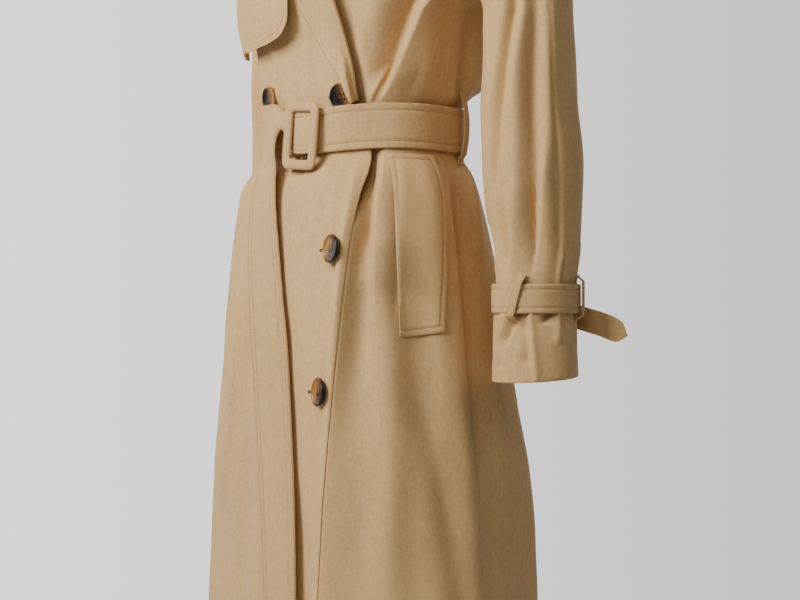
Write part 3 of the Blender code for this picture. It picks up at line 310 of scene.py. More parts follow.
# Lapels: height, width from the roll line in degrees round the coat.
LAPEL = (
    (-0.3450, 2.0), (-0.3370, 3.4), (-0.3260, 5.0), (-0.31525, 7.4), (-0.2935, 13.9),
    (-0.27175, 19.8), (-0.2500, 24.4), (-0.2150, 27.0), (-0.1780, 38.0),
    (-0.1410, 46.0), (-0.1220, 46.0), (-0.09133, 35.0), (-0.06067, 14.0),
)

# Storm flap: height, azimuth of its armhole side and of its free edge, how
# far it stands off in mm.
STORM = (
    (-0.283, -73, -52, 15),
    (-0.280, -73, -34, 15),
    (-0.275, -73, -17, 15),
    (-0.266, -73, -2, 15),
    (-0.250, -73, 4, 13.5),
    (-0.234, -72, 5, 11),
    (-0.215, -69, -3, 7.5),
    (-0.178, -57, -22, 4.6),
    (-0.141, -52, -36, 4.6),
    (-0.122, -51, -38, 4.2),
    (-0.0913, -52, -38, 4.2),
    (-0.0607, -53, -38, 4.2),
    (-0.036, -53, -38, 4.2),
)

# The pocket welt's corners on the wearer's left, as azimuth and height.
WELT = ((64.0, -0.404), (87.0, -0.404), (81.0, -0.590), (64.5, -0.595))

# The belt's hanging end: z, x and y of its edge towards the wearer's right,
# x and y of the other edge.
TAIL = (
    (-0.411, -0.0640, -0.0970, -0.0205, -0.1090),
    (-0.431, -0.0660, -0.1030, -0.0170, -0.1120),
    (-0.460, -0.0630, -0.1110, -0.0120, -0.1150),
    (-0.503, -0.0550, -0.1200, -0.0030, -0.1175),
    (-0.557, -0.0414, -0.1290, 0.0095, -0.1212),
    (-0.600, -0.0307, -0.1340, 0.0200, -0.1240),
    (-0.663, -0.0194, -0.1376, 0.0310, -0.1280),
    (-0.768, -0.0050, -0.1417, 0.0454, -0.1340),
    (-0.871, 0.0067, -0.1455, 0.0567, -0.1410),
    (-0.950, 0.0140, -0.1500, 0.0640, -0.1465),
)

# Where the belt's end goes through the buckle: degrees from its middle, how
# far out from the belt, height of its lower and upper edge in half widths.
TAIL_START = (
    (15.95, 0.0000, -1.0, 1.0),
    (12.5, 0.0025, -1.0, 1.0),
    (8.0, 0.0050, -1.0, 1.0),
    (0.0, 0.0054, -1.0, 1.0),
    (-8.0, 0.0050, -0.98, 1.0),
    (-13.0, 0.0050, -0.75, 1.0),
    (-17.5, 0.0060, -0.15, 1.0),
)

# Where it turns down: x, y, z of its inner edge and of its outer edge.
TAIL_TURN = (
    (-0.0200, -0.1010, -0.372, -0.0380, -0.0970, -0.3440),
    (-0.0245, -0.1040, -0.380, -0.0565, -0.0950, -0.3445),
    (-0.0240, -0.1070, -0.388, -0.0605, -0.0950, -0.3600),
    (-0.0225, -0.1090, -0.398, -0.0620, -0.0960, -0.3830),
)

# A strap's free end. Its places are counted from the sleeve's axis, TAB_FROM
# inside the sleeve's outer side: outwards, backwards, height and half width.
TAB_FROM = 0.0415
TAB = (
    (-0.0120, 0.0484, -0.5680, 0.0118),
    (0.0040, 0.0506, -0.5735, 0.0118),
    (0.0200, 0.0535, -0.5775, 0.0118),
    (0.0340, 0.0585, -0.5815, 0.0118),
    (0.0460, 0.0635, -0.5860, 0.0118),
    (0.0545, 0.0675, -0.5900, 0.0105),
    (0.0625, 0.0715, -0.5940, 0.0012),
)

# Loops of a cuff: name, turn, how far it leans in degrees, how far it stands
# off the sleeve.
CUFF_LOOPS = (("front", 71.0, 8.0, 0.0084), ("back", -35.0, 0.0, 0.0095))

# Buttons: name, azimuth, height, tilt to the wearer's right in degrees and
# shift to the wearer's left in mm, whether it comes through a buttonhole, and
# the side that is painted amber as if lit through the horn, the other side
# being painted dark as shade.
BUTTONS = (
    ("button_top_left", 38.7, -0.341, 3, 0.0, True, 1),
    ("button_top_right", -35.5, -0.3375, -3, 0.0, False, 1),
    ("button_mid_left", 42.0, -0.5055, 30, 0.0, True, -1),
    ("button_mid_right", -16.0, -0.505, 0, 0.0, False, -1),
    ("button_low_left", 35.6, -0.654, 30, 5.0, True, -1),
    ("button_low_right", -3.0, -0.654, 0, 0.0, False, 1),
)

# Collar, from the middle of the back to the front: place, base, top of the
# stand, edge of the fall, each as x, y, z.
COLLAR = (
    (0.00, 0.000, 0.0611, 0.0044, 0.000, 0.053, 0.041, 0.000, 0.108, -0.022),
    (0.35, 0.043, 0.0430, 0.011, 0.040, 0.039, 0.044, 0.078, 0.090, -0.014),
    (0.62, 0.073, 0.0030, 0.017, 0.068, 0.004, 0.043, 0.132, 0.020, 0.006),
    (0.82, 0.063, -0.026, 0.011, 0.061, -0.022, 0.030, 0.140, -0.036, -0.008),
    (1.00, 0.051, -0.048, -0.003, 0.053, -0.043, 0.011, 0.122, -0.080, -0.036),
)

# Small uneven waves of the body and of a sleeve: height in mm, turns round,
# slope, then the size, turns and slope of what bends the wave.
BODY_WAVES = (
    (0.42, 9.0, 21.0, 1.3, 0.0, 17.0),
    (0.30, 17.0, -34.0, 2.0, 3.0, 0.0),
    (0.22, 31.0, 9.0, 1.7, 0.0, 29.0),
    (0.16, 23.0, 83.0, 0.0, 0.0, 0.0),
)
SLEEVE_WAVES = (
    (0.35, 5.0, 22.0, 0.0, 0.0, 0.0),
    (0.25, 9.0, -51.0, 0.0, 0.0, 0.0),
)

# How the left front lies under the right one. Upwards from LAP_CHEST it does so
# further past the right one's edge. Downwards from LAP_SKIRT it follows the
# right one's folds, and above that it lies LAP_GAP under the plain form. Both
# are start and length, in m.
LAP_CHEST = (-0.30, 0.08)
LAP_SKIRT = (-0.415, 0.07)

# How many degrees past the right front's edge it does so, how many more and
# how far shifted at the chest, and how many more low down: start, length,
# added degrees.
LAP_REACH = 8.0
LAP_CHEST_REACH = 16.0
LAP_CHEST_SHIFT = 4.0
LAP_WIDENS = ((-0.52, 0.10, 3.0), (-0.61, 0.13, 12.0))

# It lies this far under the right front, and comes nearer beside the edge:
# start and length in degrees past the edge, how much nearer in m.
LAP_APART = 0.0060
LAP_NEARS = ((-4.0, 4.0, 0.0047), (0.25, 0.5, 0.0010))

# A sleeve's head: azimuth of the shoulder's point, how the cloth leaves the
# armhole outwards and downwards, each as a mean and a change round it, and how
# it comes down to the first level section.
SHOULDER_POINT = 56.0
CAP_OUT = (0.75, 0.25)
CAP_DOWN = (-0.25, 0.10)
CAP_ARRIVE = -0.9

# A sleeve's folds: the radius in mm on which their reach is measured, and the
# reach above which a fold is round rather than sharp.
SLEEVE_RADIUS = 48.0
BROAD_FOLD = 6.0


class Side(Enum):
    """The wearer's side a piece is on."""

    RIGHT = -1
    LEFT = 1

    @property
    def word(self) -> str:
        """The side's name in lower case."""
        return self.name.lower()


class Panel(Enum):
    """A panel of the coat's body."""

    RIGHT = "right"
    LEFT = "left"
    BACK = "back"


def smooth(x: Grid, xs: Grid, rows: Grid) -> Grid:
    """Interpolates rows of numbers at x, smoothly and without overshoot.

    Args:
        x: Places to read.
        xs: Rising places of the rows.
        rows: One row of numbers for each place.

    Returns:
        The numbers at each x, along a new last axis.
    """
    x = np.asarray(x, float)
    xs = np.asarray(xs, float)
    rows = np.asarray(rows, float).reshape(len(xs), -1)
    gap = np.diff(xs)[:, None]
    rise = np.diff(rows, axis=0) / gap
    slope = np.empty_like(rows)
    slope[0] = rise[0]
    slope[-1] = rise[-1]
    both = rise[:-1] * rise[1:]
    total = np.where(both > 0, rise[:-1] + rise[1:], 1.0)
    slope[1:-1] = np.where(both > 0, 2.0 * both / total, 0.0)
    flat = x.ravel()
    i = np.clip(np.searchsorted(xs, flat, side="right") - 1, 0, len(xs) - 2)
    t = np.clip((flat - xs[i]) / gap[i, 0], 0.0, 1.0)[:, None]
    found = rows[i] * (2 * t**3 - 3 * t**2 + 1) + rows[i + 1] * (3 * t**2 - 2 * t**3)
    bend = slope[i] * (t**3 - 2 * t**2 + t) + slope[i + 1] * (t**3 - t**2)
    return (found + bend * gap[i]).reshape(x.shape + (rows.shape[1],))


def step(x: Grid) -> Grid:
    """A smooth step from 0 to 1."""
    x = np.clip(x, 0.0, 1.0)
    return x * x * (3.0 - 2.0 * x)


def above(x: Grid, start: float, length: float) -> Grid:
    """A smooth step from 0 at a start to 1 a length above it."""
    return step((x - start) / length)


def below(x: Grid, start: float, length: float) -> Grid:
    """A smooth step from 0 at a start to 1 a length below it."""
    return step((start - x) / length)


def hump(x: Grid, middle: float, reach: float) -> Grid:
    """A soft hump: 1 at its middle, falling off over a reach."""
    return np.exp(-(((x - middle) / reach) ** 2))


def wrapped(degrees: Grid) -> Grid:
    """Degrees brought into the range from -180 to 180."""
    return (degrees + 180.0) % 360.0 - 180.0


def unit(v: Grid) -> Grid:
    """Vectors made one long."""
    return v / np.maximum(np.linalg.norm(v, axis=-1, keepdims=True), 1e-12)


def run_of(line: Grid) -> Grid:
    """How far along a line each of its points lies."""
    steps = np.linalg.norm(np.diff(line, axis=0), axis=1)
    return np.concatenate([[0.0], np.cumsum(steps)])


def to_top(w: Grid) -> Grid:
    """How far a height is on its way from SPLIT_Z to the top."""
    return (w - SPLIT_Z) / (TOP_W - SPLIT_Z)


def hermite(start: Grid, end: Grid, leave: Grid, arrive: Grid, t: Grid) -> Grid:
    """Points of a curve between two ends with given ways out and in."""
    found = start * (2 * t**3 - 3 * t**2 + 1) + end * (3 * t**2 - 2 * t**3)
    return found + leave * (t**3 - 2 * t**2 + t) + arrive * (t**3 - t**2)


def ripples(waves: tuple[tuple[float, ...], ...], angle: Grid, height: Grid) -> Grid:
    """Small uneven waves that all worn cloth has.

    Args:
        waves: A table like BODY_WAVES.
        angle: Radians round the form.
        height: Heights on it.

    Returns:
        How far the waves stand out, in metres.
    """
    total = 0.0
    for size, turns, slope, bend, bend_turns, bend_slope in waves:
        shift = bend * np.sin(bend_turns * angle + bend_slope * height)
        total = total + size * np.sin(turns * angle + slope * height + shift)
    return total * MM


# Where a front's folds blend into the back's: azimuth of the side seam, reach
# in degrees, and the turn from the front's azimuths to the back's.
SIDE_SEAMS = {Panel.RIGHT: (-90.0, 14.0, 360.0), Panel.LEFT: (90.0, 8.0, 0.0)}


@dataclass(frozen=True)
class BodyForm:
    """The coat's body as a surface over azimuth and height.

    Attributes:
        seam_share: How far a seam at the top is opened, in seam widths.
        start_probe: Metres below SPLIT_Z where the way up is measured.
        probe_turn: Degrees to each side at which a normal is measured.
        probe_rise: Metres up and down at which a normal is measured.
        shoulder: Degrees from the side between which the shoulder seam runs.
        pressed: How much of the folds the belt presses flat.
        press_rise: How far above the waist it presses most.
        press_reach: How far up and down it presses, in metres.
    """

    seam_share: float = 1.2
    start_probe: float = 0.01
    probe_turn: float = 0.3
    probe_rise: float = 0.0005
    shoulder: tuple[float, float] = (33.9, 58.1)
    pressed: float = 0.85
    press_rise: float = 0.002
    press_reach: float = 0.036

    def ring(self, azimuth: Grid, z: Grid) -> Grid:
        """Points of the level section at height z."""
        rows = np.array(RINGS)
        size = smooth(z, rows[:, 0], rows[:, 1:])
        turn = np.radians(azimuth)
        s, c = np.sin(turn), np.cos(turn)
        deep = np.where(c > 0, size[..., 1], size[..., 2])
        n = SQUARENESS
        radius = ((np.abs(s) / size[..., 0]) ** n + (np.abs(c) / deep) ** n) ** (-1 / n)
        return np.stack([radius * s, -radius * c, z + 0 * radius], axis=-1)

    def tops(self, azimuth: Grid) -> tuple[Grid, Grid]:
        """Where the cloth ends at the top and the way it arrives there."""
        turn = wrapped(np.asarray(azimuth, float))
        side = np.where(turn < 0, -1.0, 1.0)
        angle = np.abs(turn)
        rows = np.array(TOPS, float)
        out = np.zeros(angle.shape + (6,))
        ends = (0,) + CORNERS + (180,)
        for low, high in zip(ends[:-1], ends[1:]):
            part = rows[(rows[:, 0] >= low) & (rows[:, 0] <= high)]
            here = (angle >= low) & (angle <= high)
            out[here] = smooth(angle[here], part[:, 0], part[:, 1:])
        out[..., 0] *= side
        out[..., 3] *= side
        out[..., 1] += np.where(angle < 90.0, -SEAM, SEAM) * self.seam_share
        return out[..., :3], out[..., 3:]

    def base(self, azimuth: Grid, w: Grid) -> Grid:
        """The surface without folds; w is z up to SPLIT_Z, then runs to TOP_W."""
        azimuth, w = np.broadcast_arrays(np.asarray(azimuth, float), np.asarray(w, float))
        low = self.ring(azimuth, np.minimum(w, SPLIT_Z))
        start = self.ring(azimuth, np.full(w.shape, SPLIT_Z))
        under = self.ring(azimuth, np.full(w.shape, SPLIT_Z - self.start_probe))
        end, way = self.tops(azimuth)
        length = np.linalg.norm(end - start, axis=-1, keepdims=True)
        t = np.clip(to_top(w), 0.0, 1.0)[..., None]
        high = hermite(start, end, unit(start - under) * length, way * length, t)
        return np.where(w[..., None] > SPLIT_Z, high, low)

    def normals(self, azimuth: Grid, w: Grid) -> Grid:
        """Outward directions of the surface without folds."""
        turn, rise = self.probe_turn, self.probe_rise
        across = self.base(azimuth + turn, w) - self.base(azimuth - turn, w)
        up = self.base(azimuth, w + rise) - self.base(azimuth, w - rise)
        n = np.cross(across, up)
        from_side = np.abs(np.abs(azimuth + 0.0 * w) % 180.0 - 90.0)
        first, last = self.shoulder
        seam = (from_side > first) & (from_side < last) & (w > TOP_W - rise)
        n[..., 1] = np.where(seam, 0.0, n[..., 1])
        return unit(n)

    def press(self, w: Grid) -> Grid:
        """How free the folds are: they are pressed flat under the belt."""
        off = (w - WAIST_Z - self.press_rise) / self.press_reach
        return 1.0 - self.pressed * np.exp(-(off**6))

    def relief(self, azimuth: Grid, w: Grid, panel: Panel) -> Grid:
        """How far the folds of a panel stand out, in metres."""
        flat = self.base(azimuth, w)
        rough = np.hypot(flat[..., 0], flat[..., 1])
        out = np.zeros(np.broadcast(azimuth, w).shape)
        for row in FOLDS + CREASES:
            if row[0] == panel.value:
                out = out + self.fold(row, azimuth, w, rough)
        return (out + ripples(BODY_WAVES, np.radians(azimuth), w)) * self.press(w)

    @staticmethod
    def fold(row: tuple, azimuth: Grid, w: Grid, rough: Grid) -> Grid:
        """How far one fold stands out.

        Args:
            row: The fold's row of FOLDS or CREASES.
            azimuth: Degrees round the coat.
            w: Heights.
            rough: Roughly the distance from the coat's axis.

        Returns:
            The heights of the fold, in metres.
        """
        _, z1, a1, z2, a2, bow, before, after, height, sharp, fade1, fade2 = row
        top, bottom = max(z1, z2), min(z1, z2)
        t = np.clip((z1 - w) / (z1 - z2), 0.0, 1.0)
        centre = a1 + (a2 - a1) * t + bow * 4 * t * (1 - t)
        arc = np.radians(azimuth - centre) * rough * MM_PER_M
        reach = np.where(arc < 0, before, after)
        rise = np.exp(-((np.abs(arc) / reach) ** sharp)) * height * MM
        up, down = (fade1, fade2) if z1 > z2 else (fade2, fade1)
        if up:
            rise = rise * below(w, top, up)
        if down:
            rise = rise * above(w, bottom, down)
        return rise * ((w <= top) | (up == 0)) * ((w >= bottom) | (down == 0))

    def edge(self, w: Grid, side: Side) -> Grid:
        """The azimuth of a front's free edge or roll line."""
        rows = np.array(EDGES)
        return smooth(w, rows[:, 0], rows[:, 1 if side is Side.RIGHT else 2])[..., 0]

    def under_lap(self, lift: Grid, azimuth: Grid, w: Grid) -> Grid:
        """The left front's folds, bent to lie under the right front.

        Args:
            lift: How far its own folds stand out.
            azimuth: Degrees round the coat.
            w: Heights.

        Returns:
            How far the cloth stands out, in metres.
        """
        past = azimuth - self.edge(w, Side.RIGHT)
        chest = above(w, *LAP_CHEST)
        reach = LAP_REACH + LAP_CHEST_REACH * chest
        for start, length, more in LAP_WIDENS:
            reach = reach + more * below(w, start, length)
        under = 1.0 - step((past - LAP_CHEST_SHIFT * chest) / reach)
        apart = LAP_APART
        for start, length, nearer in LAP_NEARS:
            apart = apart - nearer * above(past, start, length)
        followed = self.relief(azimuth, w, Panel.RIGHT) + LAP_GAP - apart
        followed = followed * below(w, *LAP_SKIRT) - LAP_GAP
        return lift * (1 - under) + followed * under

    def sheet(self, panel: Panel, azimuth: Grid, w: Grid, out: Grid = 0.0) -> Grid:
        """Points of a panel with its folds, moved outwards.

        Args:
            panel: Which panel's folds to use.
            azimuth: Degrees round the coat.
            w: Heights.
            out: How far to move out, in metres.

        Returns:
            The points.
        """
        azimuth, w = np.broadcast_arrays(np.asarray(azimuth, float), np.asarray(w, float))
        lift = self.relief(azimuth, w, panel)
        if panel is Panel.LEFT:
            lift = self.under_lap(lift, azimuth, w)
        if panel in SIDE_SEAMS:
            seam, reach, turn = SIDE_SEAMS[panel]
            near = hump(azimuth, seam, reach)
            lift = lift * (1 - near) + self.relief(azimuth + turn, w, Panel.BACK) * near
        return self.base(azimuth, w) + self.normals(azimuth, w) * (lift + out)[..., None]


class SleeveForm:
    """A sleeve as a surface over turn and height."""

    def __init__(self, body: BodyForm, side: Side) -> None:
        """Keeps the body it is sewn to and its side."""
        self.body = body
        self.side = side.value

    def ring(self, turn: Grid, z: Grid) -> Grid:
        """Points of the sleeve's level section, without folds."""
        rows = np.array(SLEEVES)[::-1]
        size = smooth(z, rows[:, 0], rows[:, 1:])
        first = 0 if self.side > 0 else 2
        x, y, radius = size[..., first], size[..., first + 1], size[..., 4]
        angle = np.radians(turn)
        points = [x + self.side * radius * np.cos(angle), y - radius * np.sin(angle)]
        return np.stack(points + [z + 0 * x], axis=-1)

    def base(self, turn: Grid, v: Grid) -> Grid:
        """The surface without folds: v is 0 to 1 on the cap, then a height."""
        turn, v = np.broadcast_arrays(np.asarray(turn, float), np.asarray(v, float))
        first = SLEEVES[0][0]
        tube = self.ring(turn, np.minimum(v, first))
        half = np.where(turn <= 180.0, turn, 360.0 - turn) / 180.0
        azimuth = SHOULDER_POINT + (90.0 - SHOULDER_POINT) * half
        azimuth = np.where(turn <= 180.0, azimuth, 180.0 - azimuth)
        start, _ = self.body.tops(azimuth * self.side)
        end = self.ring(turn, np.full(v.shape, first))
        length = np.linalg.norm(end - start, axis=-1, keepdims=True)
        cos = np.cos(np.radians(turn))
        leave = np.zeros(start.shape)
        leave[..., 0] = self.side * (CAP_OUT[0] + CAP_OUT[1] * cos)
        leave[..., 2] = CAP_DOWN[0] + CAP_DOWN[1] * cos
        start = start + leave * 2.0 * SEAM
        arrive = np.zeros(start.shape)
        arrive[..., 2] = CAP_ARRIVE
        t = np.clip(v, 0.0, 1.0)[..., None]
        cap = hermite(start, end, leave * length, arrive * length, t)
        return np.where(v[..., None] > 0, cap, tube)

    def lift(self, turn: Grid, v: Grid) -> Grid:
        """How far the folds of the sleeve stand out, in metres."""
        z = np.where(v > 0, SLEEVES[0][0], v)
        out = np.zeros(np.broadcast(turn, v).shape)
        folds = tuple((*row[:5], *row[4:]) for row in SLEEVE_FOLDS)
        for z1, a1, z2, a2, before, after, height, fade in folds + SLEEVE_CREASES:
            t = np.clip((z1 - z) / (z1 - z2), 0.0, 1.0)
            centre = a1 + (a2 - a1) * t
            arc = np.radians(wrapped(turn - centre)) * SLEEVE_RADIUS
            reach = np.where(arc < 0, before, after)
            power = np.where(reach > BROAD_FOLD, 2.0, 1.5)
            rise = np.exp(-((np.abs(arc) / reach) ** power)) * height * MM
            out = out + rise * below(z, z1, fade) * above(z, z2, fade)
        out = out + ripples(SLEEVE_WAVES, np.radians(turn), z) * below(z, -0.26, 0.05)
        return out * np.where(v > 0, above(v, 0.35, 0.65), 1.0)

    def outwards(self, turn: Grid) -> Grid:
        """Level directions away from the sleeve's axis."""
        angle = np.radians(turn)
        return np.stack([self.side * np.cos(angle), -np.sin(angle), 0 * angle], axis=-1)

    def sheet(self, turn: Grid, v: Grid, out: Grid = 0.0) -> Grid:
        """Points of the sleeve with its folds, moved outwards."""
        turn, v = np.broadcast_arrays(np.asarray(turn, float), np.asarray(v, float))
        lift = self.lift(turn, v) + out
        return self.base(turn, v) + self.outwards(turn) * lift[..., None]


class NodePen:
    """Adds nodes to a tree and joins them."""

    def __init__(self, tree: bpy.types.NodeTree) -> None:
        """Keeps the tree."""
        self.tree = tree

    def add(self, kind: str, **settings: object) -> Node:
        """A new node with its settings."""
        node = self.tree.nodes.new(kind)
        for key, value in settings.items():
            setattr(node, key, value)
        return node

    def feed(self, target: Socket, source: object) -> None:
        """Joins a socket to a target, or sets a plain value on it."""
        if isinstance(source, bpy.types.NodeSocket):
            self.tree.links.new(source, target)
        else:
            target.default_value = source

    def number(self, operation: str, a: object, b: object) -> Socket:
        """A math node of two numbers."""
        node = self.add("ShaderNodeMath", operation=operation)
        self.feed(node.inputs[0], a)
        self.feed(node.inputs[1], b)
        return node.outputs[0]

    def fill(self, node: Node, inputs: dict[str, object]) -> None:
        """Joins sockets or sets plain values on several inputs of a node."""
        for label, source in inputs.items():
            self.feed(node.inputs[label], source)

    def noise(self, place: Socket, scale: object, detail: float) -> Socket:
        """Soft noise at a place, from 0 to 1."""
        node = self.add("ShaderNodeTexNoise")
        self.fill(node, {"Vector": place, "Scale": scale, "Detail": detail})
        return node.outputs["Fac"]

    def centred(self, value: Socket, amount: float) -> Socket:
        """A value from 0 to 1, moved to lie round 0 and scaled."""
        return self.number("MULTIPLY", self.number("SUBTRACT", value, 0.5), amount)

    def remap(self, value: Socket, low: float, high: float, to: tuple[float, float]) -> Socket:
        """A value moved from one range to another, and held in it."""
        node = self.add("ShaderNodeMapRange")
        self.fill(node, {"Value": value, "From Min": low, "From Max": high})
        self.fill(node, {"To Min": to[0], "To Max": to[1]})
        return node.outputs["Result"]

    def bump(self, height: Socket, strength: float, distance: float) -> Socket:
        """Surface directions that look like a height."""
        node = self.add("ShaderNodeBump")
        self.fill(node, {"Strength": strength, "Distance": distance, "Height": height})
        return node.outputs["Normal"]

    def along(self, place: Socket, way: tuple[float, float, float]) -> Socket:
        """How far a place lies along a direction."""
        node = self.add("ShaderNodeVectorMath", operation="DOT_PRODUCT")
        self.feed(node.inputs[0], place)
        node.inputs[1].default_value = way
        return node.outputs["Value"]

    def blend(self, share: object, a: object, b: object) -> Socket:
        """A mix of two colours."""
        node = self.add("ShaderNodeMix", data_type="RGBA")
        self.feed(node.inputs["Factor"], share)
        self.feed(node.inputs["A"], a)
        self.feed(node.inputs["B"], b)
        return node.outputs["Result"]


class Effects:
    """The shader node groups that the finishes share, each built once."""

    def __init__(self) -> None:
        """Builds the groups."""
        self.weave = self._weave()
        self.mottle = self._mottle()

    @staticmethod
    def _group(name: str, sockets: tuple[tuple[str, str, str], ...]) -> bpy.types.NodeTree:
        """An empty group with its sockets: name, IN or OUT, kind."""
        tree = bpy.data.node_groups.new(name, "ShaderNodeTree")
        for label, way, kind in sockets:
            tree.interface.new_socket(label, in_out=f"{way}PUT", socket_type=f"NodeSocket{kind}")
        return tree

    def _weave(self) -> bpy.types.NodeTree:
        """Diagonal twill lines with loose fibre, as a height."""
        tree = self._group(
            "twill_weave", (("Scale", "IN", "Float"), ("Fibre", "IN", "Float"), ("Height", "OUT", "Float"))
        )
        pen = NodePen(tree)
        given = pen.add("NodeGroupInput")
        scale = given.outputs["Scale"]
        place = pen.add("ShaderNodeTexCoord").outputs["Object"]
        wave = pen.add("ShaderNodeTexWave", bands_direction="DIAGONAL")
        pen.fill(wave, {"Vector": place, "Scale": scale, "Distortion": 1.2, "Detail": 1.0})
        fine = pen.noise(place, pen.number("MULTIPLY", scale, 1.7), detail=2.0)
        fibre = pen.number("MULTIPLY", fine, given.outputs["Fibre"])
        total = pen.number("ADD", wave.outputs["Fac"], fibre)
        pen.fill(pen.add("NodeGroupOutput"), {"Height": total})
        return tree

    def _mottle(self) -> bpy.types.NodeTree:
        """Uneven dye: broad clouds, small flecks and faint upright slubs."""
        tree = self._group(
            "uneven_dye",
            (
                ("Colour", "IN", "Color"),
                ("Dark", "IN", "Color"),
                ("Pale", "IN", "Color"),
                ("Amount", "IN", "Float"),
                ("Colour", "OUT", "Color"),
            ),
        )
        pen = NodePen(tree)
        given = pen.add("NodeGroupInput")
        place = pen.add("ShaderNodeTexCoord").outputs["Object"]
        stretch = pen.add("ShaderNodeMapping")
        pen.fill(stretch, {"Vector": place, "Scale": (1.0, 1.0, 0.16)})
        clouds = pen.noise(place, scale=9.0, detail=3.0)
        flecks = pen.noise(place, scale=240.0, detail=2.0)
        slubs = pen.noise(stretch.outputs["Vector"], scale=420.0, detail=1.0)
        amount = given.outputs["Amount"]
        cloudy = pen.remap(clouds, low=0.35, high=0.75, to=(0.0, 0.5))
        flecked = pen.remap(flecks, low=0.35, high=0.7, to=(0.0, 0.6))
        slubbed = pen.remap(slubs, low=0.4, high=0.7, to=(0.0, 0.4))
        dark = pen.number("MULTIPLY", cloudy, amount)
        pale = pen.number("MULTIPLY", pen.number("ADD", flecked, slubbed), amount)
        first = pen.blend(dark, given.outputs["Colour"], given.outputs["Dark"])
        second = pen.blend(pale, first, given.outputs["Pale"])
        pen.fill(pen.add("NodeGroupOutput"), {"Colour": second})
        return tree


def start_material(
    name: str, colour: tuple[float, float, float]
) -> tuple[bpy.types.Material, NodePen, Node]:
    """A new material, the pen for its nodes and its shader node."""
    made = bpy.data.materials.new(name)
    made.use_nodes = True
    made.diffuse_color = (*colour, 1.0)
    return made, NodePen(made.node_tree), made.node_tree.nodes["Principled BSDF"]


@dataclass(frozen=True)
class ClothFinish:
    """A woven finish with dye that is a little uneven."""

    name: str
    colour: tuple[float, float, float]
    dark: tuple[float, float, float]
    pale: tuple[float, float, float]
    roughness: float = 0.86
    shine: float = 0.25
    sheen: float = 0.12
    sheen_roughness: float = 0.4
    weave: float = 420.0
    fibre: float = 0.8
    bump: float = 0.30
    depth: float = 0.0004
    amount: float = 0.75

    def make(self, effects: Effects) -> bpy.types.Material:
        """Builds the material.

        Args:
            effects: The shared node groups.

        Returns:
            The new material.
        """
        made, pen, shader = start_material(self.name, self.colour)
        dye = pen.add("ShaderNodeGroup", node_tree=effects.mottle)
        for label, colour in (("Colour", self.colour), ("Dark", self.dark), ("Pale", self.pale)):
            pen.fill(dye, {label: (*colour, 1.0)})
        pen.fill(dye, {"Amount": self.amount})
        weave = pen.add("ShaderNodeGroup", node_tree=effects.weave)
        pen.fill(weave, {"Scale": self.weave, "Fibre": self.fibre})
        looks = {
            "Base Color": dye.outputs["Colour"],
            "Normal": pen.bump(weave.outputs["Height"], self.bump, self.depth),
            "Roughness": self.roughness,
            "Specular IOR Level": self.shine,
            "Sheen Weight": self.sheen,
            "Sheen Roughness": self.sheen_roughness,
        }
        pen.fill(shader, looks)
        return made


@dataclass(frozen=True)
class HornFinish:
    """Polished horn with painted light: amber on one side as light through the horn, dark on the other as
    painted shade.
    """

    name: str
    dark: tuple[float, float, float]
    brown: tuple[float, float, float]
    amber: tuple[float, float, float]
    places: tuple[float, float, float] = (0.28, 0.50, 0.78)
    roughness: float = 0.36
    shine: float = 0.35
    coat: float = 0.08
    width: float = 0.009
    split: tuple[float, float] = (0.20, 0.86)
    cloudy: float = 0.55
    streaky: float = 0.25
    bump: float = 0.08
    depth: float = 0.0002

    def make(self, middle: Grid, way: Grid) -> bpy.types.Material:
        """Builds the material for one button.

        Args:
            middle: The button's middle.
            way: The direction in which it turns from painted shade to painted lit amber.

        Returns:
            The new material.
        """
        made, pen, shader = start_material(self.name, self.brown)
        place = pen.add("ShaderNodeTexCoord").outputs["Object"]
        clouds = pen.noise(place, scale=130.0, detail=3.0)
        streaks = pen.noise(place, scale=420.0, detail=4.0)
        # Painted light: across the button the colour runs from dark, painted shade, to amber, painted light
        # through the horn.
        far = pen.number("SUBTRACT", pen.along(place, tuple(way)), float(middle @ way))
        split = pen.remap(far, -self.width, self.width, self.split)
        uneven = pen.number("ADD", pen.centred(clouds, self.cloudy), pen.centred(streaks, self.streaky))
        ramp = pen.add("ShaderNodeValToRGB")
        stops = ramp.color_ramp.elements
        dark_at, brown_at, amber_at = self.places
        stops[0].position, stops[0].color = dark_at, (*self.dark, 1.0)
        stops[1].position, stops[1].color = amber_at, (*self.amber, 1.0)
        stops.new(brown_at).color = (*self.brown, 1.0)
        pen.fill(ramp, {"Fac": pen.number("ADD", split, uneven)})
        looks = {
            "Base Color": ramp.outputs["Color"],
            "Normal": pen.bump(streaks, self.bump, self.depth),
            "Roughness": self.roughness,
            "Specular IOR Level": self.shine,
            "Coat Weight": self.coat,
        }
        pen.fill(shader, looks)
        return made


@dataclass(frozen=True)
class MetalFinish:
    """A dull metal with fine scratches."""

    name: str
    colour: tuple[float, float, float]
    roughness: tuple[float, float] = (0.32, 0.57)

    def make(self) -> bpy.types.Material:
        """Builds the material."""
        made, pen, shader = start_material(self.name, self.colour)
        place = pen.add("ShaderNodeTexCoord").outputs["Object"]
        wear = pen.remap(pen.noise(place, scale=600.0, detail=3.0), low=0.3, high=0.7, to=self.roughness)
        pen.fill(shader, {"Roughness": wear, "Base Color": (*self.colour, 1.0), "Metallic": 1.0})
        return made


